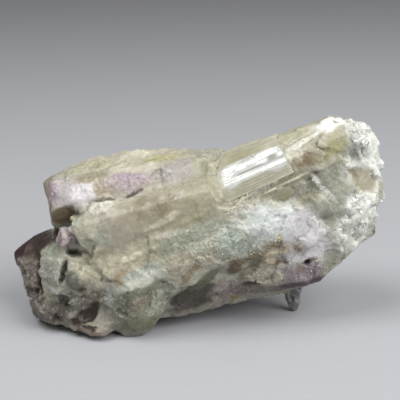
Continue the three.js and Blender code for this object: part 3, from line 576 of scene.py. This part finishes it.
    "meltedLow": area("#85826e", (23.4, -9.6, 30.6), (2.2, 3.0, 1.2), turn=10, ragged=1.0, grain=0.4,
        gloss=0.6),
    # lower right
    "whiteGranules": area("#babebb", (16.0, -12.2, 25.4), (6.8, 5.0, 4.4), turn=-10, grain=0.62),
    "whiteLeft": area("#b9bdb5", (10.6, -13.0, 26.0), (2.8, 3, 2.0), ragged=0.6, share=0.8, grain=0.7),
    "darkNook": area("#8c8a7b", (9.6, -12.8, 26.9), (1.3, 3, 0.7), ragged=0.6, share=0.8, grain=0.6,
        lift=-0.3),
    "lilacRight": area("#b8b5b6", (23.6, -9.8, 21.6), (5.4, 5, 7.4), ragged=0.6, soft=0.2, grain=0.6),
    "lilacUpper": area("#bdbabb", (21.0, -10.8, 25.4), (3.0, 4, 2.8), soft=0.2, share=0.9, grain=0.5),
    "lilacLow": area("#8a7e80", (22.6, -9.0, 13.4), (6.4, 4.4, 3.0), ragged=0.7, soft=0.2, grain=0.95),
    "yellowNook": area("#c2bf99", (17.0, -12.6, 22.2), (1.0, 2.6, 1.4), share=0.8, grain=0.8),
    "stain": area("#7c6b50", (14.2, -12.4, 18.2), (6.6, 4, 2.5), turn=12, ragged=1.1, soft=0.2, share=0.95,
        grain=1.0),
    "stainUp": area("#72624a", (17.3, -12.2, 20.6), (1.4, 3, 2.2), ragged=0.9, share=0.9, grain=0.8),
    "stainDark": area("#54442f", (16.4, -9.6, 16.6), (5.6, 5, 0.8), turn=-4, ragged=0.9, share=0.9,
        grain=0.5),
    "stainSpots": area("#c6baa1", (16.4, -9.8, 17.8), (3.2, 4, 1.2), turn=20, ragged=1.4, share=0.8,
        grain=0.9),
    "valley": area("#5a4e3a", (11.4, -9.6, 14.4), (3.9, 4, 1.0), turn=55, ragged=0.8, share=0.8, grain=0.4),
    "block": area("#b4ad98", (14.6, -9.6, 12.9), (4.4, 4, 2.4), grain=0.95, broken=0.5),
    "blockWhite": area("#c0bba8", (14.2, -10.0, 13.6), (2.8, 4, 1.0), turn=-8, ragged=0.9, share=0.8,
        grain=0.9),
    "bladePurple": area("#3d2a31", (21.4, -6.6, 9.9), (7.6, 4.6, 1.7), turn=9, grain=0.1, gloss=0.5),
    "bladeDark": area("#40332f", (11.6, -8.0, 10.6), (2.2, 3, 0.8), turn=4, grain=0.2),
    "underBlade": area("#675f59", (13.6, -7.6, 9.0), (6.4, 4, 1.5), share=0.8, grain=0.4),
    "pitHalo": area("#71604a", (23.8, -9.4, 16.2), (1.9, 3, 0.7), turn=18, ragged=0.7, share=0.9, grain=0.6),
    "pitUnder": area("#786452", (22.0, -9.4, 14.6), (1.2, 3, 1.0), ragged=0.7, share=0.7, grain=0.6),
    # painted shade: the pit is painted near black for the shade inside it
    "pit": area("#0d0807", (23.4, -8.6, 15.75), (0.8, 4, 0.9), ragged=0.05, soft=-0.2, grain=0.0, lift=-0.9),
    "spike": area("#73716f", (21.8, 1.0, 4.0), (4, 4, 5), share=0.9, grain=0.5, gloss=0.6, broken=0.5),
    # broken right end
    "crust": area("#d3d5cc", (36.4, -4.0, 35.0), (7.0, 14, 17), grain=0.9, gloss=0.8, broken=0.5),
    "crustLow": area("#cdcdc3", (32.4, -8.0, 22.4), (4.6, 8, 6.5), grain=1.0, gloss=0.8, broken=0.4),
    "crustGlass": area("#a5a595", (28.0, -8.4, 30.0), (3.2, 5, 6.6), share=0.9, grain=0.5, gloss=0.55),
    "crustGrey": area("#9b9a8a", (27.4, -9.0, 34.4), (2.8, 4, 1.6), turn=20, share=0.8, grain=0.5,
        gloss=0.55),
    "veinWhite": area("#dcdcd2", (26.2, -8.8, 32.0), (5.0, 4, 0.6), turn=-46, ragged=0.5, grain=0.8,
        gloss=0.5),
    "veinLow": area("#d2d2c8", (25.8, -9.4, 24.4), (4.0, 4, 0.6), turn=-36, ragged=0.6, grain=0.8,
        gloss=0.5),
    "knob": area("#9d9783", (34.4, -7.3, 33.4), (3.8, 4.5, 2.9), turn=-30, square=2.4, ragged=0.5, soft=0,
        grain=0.0, gloss=0.5, lift=-0.4),
    # brown, with painted shade on the upper-left wall of the knob's scoop
    "knobBrown": area("#7b6e57", (31.9, -7.6, 35.2), (1.6, 3, 0.8), turn=-30, ragged=0.8, share=0.8,
        gloss=0.4),
    "knobGreen": area("#9b9c7e", (33.0, -7.8, 31.8), (1.4, 3, 1.2), ragged=0.7, soft=0.2, share=0.8,
        gloss=0.6),
    "greenRim": area("#95957e", (38.8, -4.0, 30.2), (1.4, 5, 4.8), ragged=0.9, share=0.8, grain=0.7),
}


def remeshed(piece, voxel):
    # one even skin of small faces round everything that overlaps
    remesh = piece.modifiers.new("voxels", "REMESH")
    remesh.mode = "VOXEL"
    remesh.voxel_size = voxel * mm
    bpy.context.view_layer.update()
    ready = bpy.data.meshes.new_from_object(piece.evaluated_get(bpy.context.evaluated_depsgraph_get()))
    piece.modifiers.clear()
    piece.data = ready
    ready.name = piece.name


rockPiece = bpy.data.objects.new("granularRock", bpy.data.meshes.new("granularRock"))
bpy.context.scene.collection.objects.link(rockPiece)
welded = bmesh.new()
welded.from_mesh(stone.data)
bmesh.ops.remove_doubles(welded, verts=welded.verts, dist=1e-6)
welded.to_mesh(rockPiece.data)
welded.free()
remeshed(rockPiece, rock["voxel"])
# grown and shrunk again, so that cracks between the masses close up as they do in grown rock
pushOut(rockPiece.data, rock["closing"])
remeshed(rockPiece, rock["voxel"])
pushOut(rockPiece.data, -rock["closing"])
rockMesh = rockPiece.data
points = evened(rockMesh, pointsOf(rockMesh) / mm, 3)
setPoints(rockMesh, points)
normals = pointsOf(rockMesh, "normal")
print("rock mesh", len(rockMesh.polygons), "faces")

# where a crystal is the surface, the rock draws back inside it and shows through it
inside = np.zeros(len(points))
wander = wanderOf(points, 2)
for name, piece in crystalPieces.items():
    shown = shareOf(points, crystals[name]["shown"], wander)
    tree = BVHTree.FromPolygons([v.co for v in piece.data.vertices],
                                [tuple(f.vertices) for f in piece.data.polygons])
    low = pointsOf(piece.data).min(0) / mm - 1
    high = pointsOf(piece.data).max(0) / mm + 1
    close = np.flatnonzero(((points > low) & (points < high)).all(1))
    reach = (rock["nearCrystal"] + crystals[name]["swell"]) * mm
    for i in close:
        normal, gap = tree.find_nearest(Vector(points[i] * mm))[1::2]
        if gap < reach and np.dot(np.array(normal), normals[i]) > rock["alongside"]:
            inside[i] = shown[i]

# lumps, blocks, grains and streaks, each as high as the areas ask
colours, amounts = mixAreas(points, rock["base"], rockAreas, 4)
grain, gloss = amounts["grain"], amounts["gloss"]
chips, chipLevels = brokenGrains(points, rock["grainSize"], 20)[:2]
bent = points + rock["bend"] * noiseVector(points, rock["bendSize"], (80, 81, 82))
blocks, blockLevels, blockBorders = brokenGrains(bent, rock["blockSize"], 50)
streak = layeredNoise(climbing(points, rock["streakRise"]) / np.array(rock["streakSize"]), 1.0, 120)
blockHeight = rock["blocks"] * (rock["blockShare"] + (1 - rock["blockShare"]) * grain) + amounts["broken"]
bumps = rock["lumps"] * layeredNoise(points, rock["lumpSize"], 71) + amounts["lift"]
bumps = bumps + rock["grains"] * grain * chips + blockHeight * blocks
bumps = bumps + rock["streaks"] * amounts["streaks"] * streak
settled = ramp(points[:, 2], rock["floorFrom"], rock["floorTo"]) * (1 - inside)
depth = inside * evened(rockMesh, np.tile(inside[:, None], (1, 3)), 3)[:, 0]
points = points + normals * (settled * bumps - rock["drawnBack"] * depth)[:, None]
points[:, 2] = np.maximum(points[:, 2], 0)
setPoints(rockMesh, points)

hollow = ((evened(rockMesh, points, 5) - points) * pointsOf(rockMesh, "normal")).sum(1)
cloud = layeredNoise(points, rockTones["cloudSize"], 90)
dirty = ramp(layeredNoise(points, rockTones["crackSize"], 97), -0.1, 0.3)
tone = 1 + rockTones["grains"] * grain * (chipLevels - 0.5) + rockTones["blocks"] * (blockLevels - 0.5)
tone = tone + rockTones["clouds"] * cloud + rockTones["streaks"] * amounts["streaks"] * streak
# painted shade: the deeper the hollow, the darker the rock is painted
tone = tone * (1 - rockTones["hollows"] * ramp(hollow, 0.02, 0.26))
tone = tone * (1 + rockTones["edges"] * ramp(-hollow, 0.02, 0.2))
tone = tone * (1 - rockTones["cracks"] * grain * (1 - ramp(blockBorders, 0.02, 0.12)) * dirty)
setColour(rockMesh, "paint", np.clip(colours * tone[:, None], 0, 1))
setAmount(rockMesh, "grain", grain)
setAmount(rockMesh, "gloss", gloss)
rockMesh.polygons.foreach_set("use_smooth", [True] * len(rockMesh.polygons))
print("rock shaped and painted")


# Small grains that stand on the rock: dull sugary ones, and glassy ones on the broken right end.

sugar = dict(
    count=9800, small=0.3, large=0.75, rarity=1,  # more rarity makes large grains rarer
    cuts=5, fineness=1, sink=0.2,  # flats on each grain, detail of its mesh and share set into the rock
    tones=(0.86, 1.14), brightest=0.92,
    white="#e4e5df", whiteShare=0.12, whiteness=0.45,  # some grains are cleaner than the rock
    spotSeed=8, cutSeed=9,
)
crust = dict(
    count=1100, small=0.8, large=3.6, rarity=1.5,
    cuts=9, fineness=2, sink=0.4,
    tones=(0.85, 1.35), brightest=0.95,
    spotSeed=12, cutSeed=13,
)
grainShape = dict(cutFrom=0.35, cutTo=0.72, narrow=0.7, wide=1.2)  # in shares of a grain's size


def chippedGrains(name, places, normals, sizes, spec):
    # one mesh of small closed grains, each a ball cut by its own flats and set into the rock
    random = np.random.default_rng(spec["cutSeed"])
    ball = bmesh.new()
    bmesh.ops.create_icosphere(ball, subdivisions=spec["fineness"], radius=1)
    corners = np.array([v.co[:] for v in ball.verts])
    sides = [[v.index for v in f.verts] for f in ball.faces]
    ball.free()
    count = len(places)
    flats = random.normal(size=(count, spec["cuts"], 3))
    flats = flats / np.linalg.norm(flats, axis=2)[:, :, None]
    heights = random.uniform(grainShape["cutFrom"], grainShape["cutTo"], (count, spec["cuts"], 1))
    facing = np.einsum("ncj,vj->ncv", flats, corners)
    reach = np.where(facing > 0.05, heights / np.maximum(facing, 0.05), 9.0).min(1)
    stretch = random.uniform(grainShape["narrow"], grainShape["wide"], (count, 1, 3))
    shaped = corners[None] * np.minimum(reach, 1)[:, :, None] * stretch
    middle = places - normals * (spec["sink"] * sizes)[:, None]
    points = (shaped * 0.5 * sizes[:, None, None] + middle[:, None]).reshape(-1, 3)
    faces = [tuple(len(corners) * n + c for c in side) for n in range(count) for side in sides]
    return meshObject(name, points, faces), len(corners)


def spotsOn(mesh, share, count, seed):
    # points spread over a mesh in proportion to area and to a share at each vertex
    random = np.random.default_rng(seed)
    mesh.calc_loop_triangles()
    corners = np.zeros(len(mesh.loop_triangles) * 3, np.int32)
    mesh.loop_triangles.foreach_get("vertices", corners)
    corners = corners.reshape(-1, 3)
    where = pointsOf(mesh) / mm
    facing = pointsOf(mesh, "normal")
    a, b, c = where[corners[:, 0]], where[corners[:, 1]], where[corners[:, 2]]
    chance = np.linalg.norm(np.cross(b - a, c - a), axis=1) * share[corners].mean(1)
    chosen = random.choice(len(corners), count, p=chance / chance.sum())
    mix = random.dirichlet((1, 1, 1), count)
    spots = (where[corners[chosen]] * mix[:, :, None]).sum(1)
    toward = (facing[corners[chosen]] * mix[:, :, None]).sum(1)
    return spots, toward / np.linalg.norm(toward, axis=1)[:, None], corners[chosen, 0]


def standGrains(name, spec, share, random):
    # each grain takes the colour of the rock under it, a little lighter or darker
    spots, toward, near = spotsOn(rockMesh, share, spec["count"], spec["spotSeed"])
    larger = random.uniform(0, 1, len(spots)) ** spec["rarity"]
    sizes = spec["small"] + (spec["large"] - spec["small"]) * larger
    piece, corners = chippedGrains(name, spots, toward, sizes, spec)
    tones = colours[near] * random.uniform(*spec["tones"], (len(spots), 1))
    if "white" in spec:
        clean = random.uniform(0, 1, (len(spots), 1)) < spec["whiteShare"]
        tones += clean * spec["whiteness"] * (np.array(toLinear(spec["white"])[:3]) - tones)
    setColour(piece.data, "paint", np.clip(np.repeat(tones, corners, 0), 0, spec["brightest"]))
    return piece, corners


random = np.random.default_rng(5)
standing = (1 - inside) * ramp(points[:, 2], 1.2, 3.0)  # none under the stone or on the crystals
clumps = 0.3 + ramp(layeredNoise(points, 6.0, 33), -0.4, 0.1)
sugarShare = standing * ramp(grain, 0.5, 0.98) * ramp(colours.mean(1), 0.0, 0.2)
sugarShare = sugarShare * (1 - ramp(gloss, 0.5, 0.7))
crustShare = standing * ramp(gloss, 0.5, 0.75) * ramp(grain, 0.35, 0.8) * clumps
sugarPiece = standGrains("sugarGrains", sugar, sugarShare, random)[0]
crustPiece, corners = standGrains("crustCrystals", crust, crustShare, random)
for name, least in (("grain", 0.0), ("gloss", 0.5)):
    own = random.uniform(least, 1.0, crust["count"])  # each glassy grain's own clearness and polish
    setAmount(crustPiece.data, name, np.repeat(own, corners))
print("grains set")


# Materials. The patterns' sizes are millimetres on the real stone.

def addNode(tree, kind, settings=None, values=None, links=None):
    # adds one node with its settings and input values, and links what feeds it
    node = tree.nodes.new(kind)
    for name, value in (settings or {}).items():
        setattr(node, name, value)
    for name, value in (values or {}).items():
        node.inputs[name].default_value = value
    for name, socket in (links or {}).items():
        tree.links.new(socket, node.inputs[name])
    return node


def newMaterial(name):
    made = bpy.data.materials.new(name)
    made.use_nodes = True
    made.node_tree.nodes.clear()
    return made, made.node_tree


def brokenHackmanite(name, look):
    # Hackmanite broken out by hand and left as it broke: a mass of sugary grains. To the eye it is dull
    # and soft, with light scattered below the surface and a few grains that glint.
    made, tree = newMaterial(name)
    where = addNode(tree, "ShaderNodeTexCoord").outputs["Object"]
    paint, grain, gloss = [addNode(tree, "ShaderNodeAttribute", {"attribute_name": own}).outputs[socket]
                           for own, socket in (("paint", "Color"), ("grain", "Fac"), ("gloss", "Fac"))]
    # each grain has its own tone, tilt and polish
    cells = addNode(tree, "ShaderNodeTexVoronoi", {"feature": "F1"}, {"Scale": 1000 / look["grainSize"]},
                    {"Vector": where})
    fine = addNode(tree, "ShaderNodeTexNoise", None, {"Scale": 1000 / look["fineSize"], "Detail": 4.0},
                   {"Vector": where})
    darker, lighter = 1 - look["contrast"], 1 + look["contrast"]
    ownTone = addNode(tree, "ShaderNodeSeparateColor", None, None, {"Color": cells.outputs["Color"]})
    toneRange = addNode(tree, "ShaderNodeMapRange", None, {"To Min": darker, "To Max": lighter},
                        {"Value": ownTone.outputs["Red"]})
    fineRange = addNode(tree, "ShaderNodeMapRange", None,
                        {"From Min": 0.3, "From Max": 0.7, "To Min": darker, "To Max": lighter},
                        {"Value": fine.outputs["Fac"]})
    tone = addNode(tree, "ShaderNodeMath", {"operation": "MULTIPLY"}, None,
                   {0: toneRange.outputs["Result"], 1: fineRange.outputs["Result"]})
    colour = addNode(tree, "ShaderNodeVectorMath", {"operation": "SCALE"}, None,
                     {"Vector": paint, "Scale": tone.outputs["Value"]})
    # about one grain in eight is clean white
    fleck = addNode(tree, "ShaderNodeMapRange", None,
                    {"From Min": 0.86, "From Max": 0.9, "To Max": look["flecks"]},
                    {"Value": ownTone.outputs["Green"]})
    fleckShare = addNode(tree, "ShaderNodeMath", {"operation": "MULTIPLY"}, None,
                         {0: fleck.outputs["Result"], 1: grain})
    flecked = addNode(tree, "ShaderNodeMix", {"data_type": "RGBA"}, {7: toLinear(look["fleckColour"])},
                      {0: fleckShare.outputs["Value"], 6: colour.outputs["Vector"]})
    polish = addNode(tree, "ShaderNodeMapRange", None,
                     {"From Min": 0.55, "From Max": 1.0, "To Min": look["rough"],
                      "To Max": look["rough"] - look["polished"]},
                     {"Value": ownTone.outputs["Blue"]})
    height = addNode(tree, "ShaderNodeMath", {"operation": "MULTIPLY"}, None,
                     {0: cells.outputs["Distance"], 1: grain})
    fineShare = addNode(tree, "ShaderNodeMapRange", None, {"To Min": 0.35, "To Max": 1.0}, {"Value": grain})
    joined = addNode(tree, "ShaderNodeMath", {"operation": "MULTIPLY_ADD"}, None,
                     {0: fine.outputs["Fac"], 1: fineShare.outputs["Result"], 2: height.outputs["Value"]})
    # crystal faces and cleaved faces are smoother, and light gets further into them
    dull = addNode(tree, "ShaderNodeMapRange", None, {"To Min": 1.0, "To Max": 0.45}, {"Value": gloss})
    roughness = addNode(tree, "ShaderNodeMath", {"operation": "MULTIPLY"}, None,
                        {0: polish.outputs["Result"], 1: dull.outputs["Result"]})
    glow = addNode(tree, "ShaderNodeMapRange", None,
                   {"To Min": look["glow"], "To Max": look["glow"] + look["glowMore"]}, {"Value": gloss})
    bump = addNode(tree, "ShaderNodeBump", None, {"Strength": 0.8, "Distance": look["relief"] * mm},
                   {"Height": joined.outputs["Value"]})
    shader = addNode(tree, "ShaderNodeBsdfPrincipled", None,
                     {"IOR": look["ior"], "Subsurface Scale": 1.0,
                      "Subsurface Radius": [reach * mm for reach in look["glowReach"]]},
                     {"Base Color": flecked.outputs[2], "Roughness": roughness.outputs["Value"],
                      "Subsurface Weight": glow.outputs["Result"], "Normal": bump.outputs["Normal"]})
    addNode(tree, "ShaderNodeOutputMaterial", None, None, {"Surface": shader.outputs["BSDF"]})
    return made


def grownCrystal(name, look):
    # A crystal face as it grew or cleaved: glassy and pale olive, with flat reflections, and clouds and
    # veils inside that light gets into.
    made, tree = newMaterial(name)
    where = addNode(tree, "ShaderNodeTexCoord").outputs["Object"]
    paint, grain, gloss = [addNode(tree, "ShaderNodeAttribute", {"attribute_name": own}).outputs[socket]
                           for own, socket in (("paint", "Color"), ("grain", "Fac"), ("gloss", "Fac"))]
    clouds = addNode(tree, "ShaderNodeTexNoise", None,
                     {"Scale": 1000 / look["cloudSize"], "Detail": 5.0, "Roughness": 0.62},
                     {"Vector": where})
    tone = addNode(tree, "ShaderNodeMapRange", None,
                   {"From Min": 0.3, "From Max": 0.7, "To Min": 0.82, "To Max": 1.14},
                   {"Value": clouds.outputs["Fac"]})
    clouded = addNode(tree, "ShaderNodeVectorMath", {"operation": "SCALE"}, None,
                      {"Vector": paint, "Scale": tone.outputs["Result"]})
    # veils: thin pale sheets of healed cracks, five times as long along the crystal as across it
    along = addNode(tree, "ShaderNodeMapping", {"vector_type": "TEXTURE"},
                    {"Rotation": (0, -look["rise"], 0), "Scale": (5.0, 1.0, 1.0)}, {"Vector": where})
    veils = addNode(tree, "ShaderNodeTexNoise", {"noise_type": "RIDGED_MULTIFRACTAL"},
                    {"Scale": 1000 / look["veilSize"], "Detail": 2.0}, {"Vector": along.outputs["Vector"]})
    veilRange = addNode(tree, "ShaderNodeMapRange", None,
                        {"From Min": 0.75, "From Max": 1.25, "To Max": look["veils"]},
                        {"Value": veils.outputs["Fac"]})
    veiled = addNode(tree, "ShaderNodeMix", {"data_type": "RGBA"}, {7: toLinear(look["veilColour"])},
                     {0: veilRange.outputs["Result"], 6: clouded.outputs["Vector"]})
    # grainy parts are cloudy and pitted, dull ones rough
    clear = addNode(tree, "ShaderNodeMapRange", None, {"To Min": look["clear"], "To Max": 0.05},
                    {"Value": grain})
    dull = addNode(tree, "ShaderNodeMapRange", None, {"To Min": 0.75, "To Max": look["rough"]},
                   {"Value": gloss})
    pits = addNode(tree, "ShaderNodeMath", {"operation": "MULTIPLY"}, None,
                   {0: clouds.outputs["Fac"], 1: grain})
    bump = addNode(tree, "ShaderNodeBump", None, {"Strength": 0.7, "Distance": look["relief"] * mm},
                   {"Height": pits.outputs["Value"]})
    shader = addNode(tree, "ShaderNodeBsdfPrincipled", None,
                     {"IOR": look["ior"], "Subsurface Weight": look["glow"], "Subsurface Scale": 1.0,
                      "Subsurface Radius": [reach * mm for reach in look["glowReach"]]},
                     {"Base Color": veiled.outputs[2], "Transmission Weight": clear.outputs["Result"],
                      "Roughness": dull.outputs["Result"], "Normal": bump.outputs["Normal"]})
    absorb = addNode(tree, "ShaderNodeVolumeAbsorption", None,
                     {"Color": toLinear(look["depthColour"]), "Density": look["density"]})
    addNode(tree, "ShaderNodeOutputMaterial", None, None,
            {"Surface": shader.outputs["BSDF"], "Volume": absorb.outputs["Volume"]})
    return made


rockLook = dict(
    grainSize=0.7, fineSize=0.8,  # the real sugar is 0.3 to 1 mm, and what is finer wouldn't show
    contrast=0.07, flecks=0.18, fleckColour="#dcdcd2",
    rough=0.6, polished=0.35, relief=0.22,
    ior=1.48,  # typical for hackmanite
    glow=0.3, glowMore=0.35, glowReach=(1.8, 1.7, 1.4),
)
sugarLook = dict(rockLook, contrast=0.06, rough=0.5, relief=0.1)
crystalLook = dict(
    ior=1.55,  # typical for scapolite, which grows in such prisms with hackmanite
    glow=0.25, glowReach=(2.2, 2.1, 1.7), relief=0.5,
)
crystalLooks = {
    "striatedCrystal": dict(crystalLook, veilColour="#e2e0d4", depthColour="#dfddbc", cloudSize=2.2,
                            veilSize=2.0, veils=0.35, clear=0.2, rough=0.06, density=30.0),
    "glassyCrystal": dict(crystalLook, veilColour="#c6c6b4", depthColour="#cfcea8", cloudSize=2.0,
                          veilSize=1.6, veils=0.5, clear=0.5, rough=0.08, density=50.0),
    "farCrystal": dict(crystalLook, veilColour="#d8d5c4", depthColour="#d2cfaa", cloudSize=2.4,
                       veilSize=2.4, veils=0.4, clear=0.25, rough=0.16, density=45.0),
}
crustLook = dict(crystalLook, veilColour="#f2f2ec", depthColour="#e6e6d8", cloudSize=1.2, veilSize=1.0,
                 veils=0.3, clear=0.12, rough=0.06, density=20.0, rise=0.5)

for name, piece in crystalPieces.items():
    look = dict(crystalLooks[name], rise=np.radians(crystals[name]["rise"]))
    piece.data.materials.append(grownCrystal(name + "Grown", look))
rockPiece.data.materials.append(brokenHackmanite("hackmaniteBrokenRock", rockLook))
sugarPiece.data.materials.append(brokenHackmanite("hackmaniteSugar", sugarLook))
crustPiece.data.materials.append(grownCrystal("crustCleaved", crustLook))
print("materials made")

for piece in [rockPiece, sugarPiece, crustPiece, *crystalPieces.values()]:
    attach(piece, "root")
    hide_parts(stoneNode)


# Floor, light and camera, in metres.

studio = dict(
    floorColour="#a9aaae", floorSize=6.0, floorRough=0.9,
    fibres=900.0, fibreTones=(0.97, 1.03),  # per metre: paper fibres are about 1.1 mm long
    keyAt=(-0.184, -0.158, 0.471), keySize=0.28, keyPower=1.75,
    keyToward=(0.012, -0.008, 0.036),  # the striated crystal
    fillAt=(0.45, -0.35, 0.5), fillSize=0.6, fillPower=6.4,
    skyColour="#e8e8e6", skyStrength=0.34,
    target=(0.0009, -0.00015, 0.0267), distance=0.203, lens=85, elevation=17,
)


def softLight(name, at, size, power, toward):
    lamp = bpy.data.lights.new(name, "AREA")
    lamp.shape = "SQUARE"
    lamp.size = size
    lamp.energy = power
    made = bpy.data.objects.new(name, lamp)
    made.location = at
    made.rotation_euler = (Vector(toward) - Vector(at)).to_track_quat("-Z", "Y").to_euler()
    bpy.context.scene.collection.objects.link(made)


def mattPaper(name):
    # Uncoated paper, rolled and left plain: it is even and has no gloss, so it only carries the shadow.
    made, tree = newMaterial(name)
    where = addNode(tree, "ShaderNodeTexCoord").outputs["Object"]
    fibre = addNode(tree, "ShaderNodeTexNoise", None, {"Scale": studio["fibres"], "Detail": 2.0},
                    {"Vector": where})
    darker, lighter = studio["fibreTones"]
    shade = addNode(tree, "ShaderNodeMapRange", None, {"To Min": darker, "To Max": lighter},
                    {"Value": fibre.outputs["Fac"]})
    plain = addNode(tree, "ShaderNodeVectorMath", {"operation": "SCALE"},
                    {0: toLinear(studio["floorColour"])[:3]}, {"Scale": shade.outputs["Result"]})
    shader = addNode(tree, "ShaderNodeBsdfPrincipled", None, {"Roughness": studio["floorRough"]},
                     {"Base Color": plain.outputs["Vector"]})
    addNode(tree, "ShaderNodeOutputMaterial", None, None, {"Surface": shader.outputs["BSDF"]})
    return made


half = studio["floorSize"] / 2 / mm
floor = meshObject("studioFloor", [(-half, -half, 0), (half, -half, 0), (half, half, 0), (-half, half, 0)],
                   [(0, 1, 2, 3)])
floor.data.materials.append(mattPaper("mattPaper"))

target = Vector(studio["target"])
softLight("keyLight", studio["keyAt"], studio["keySize"], studio["keyPower"], studio["keyToward"])
softLight("fillLight", studio["fillAt"], studio["fillSize"], studio["fillPower"], target)
world = bpy.data.worlds.new("studioSky")
world.use_nodes = True
sky = world.node_tree.nodes["Background"]
sky.inputs["Color"].default_value = toLinear(studio["skyColour"])
sky.inputs["Strength"].default_value = studio["skyStrength"]
bpy.context.scene.world = world
bpy.context.scene.view_settings.view_transform = "Standard"

lens = bpy.data.cameras.new("camera")
lens.lens = studio["lens"]
lens.sensor_width = 36
camera = bpy.data.objects.new("camera", lens)
angle = np.radians(studio["elevation"])
camera.location = target + Vector((0, -np.cos(angle), np.sin(angle))) * studio["distance"]
camera.rotation_euler = (target - camera.location).to_track_quat("-Z", "Y").to_euler()
bpy.context.scene.collection.objects.link(camera)
bpy.context.scene.camera = camera
print("floor, light and camera set")

bpy.context.view_layer.update()
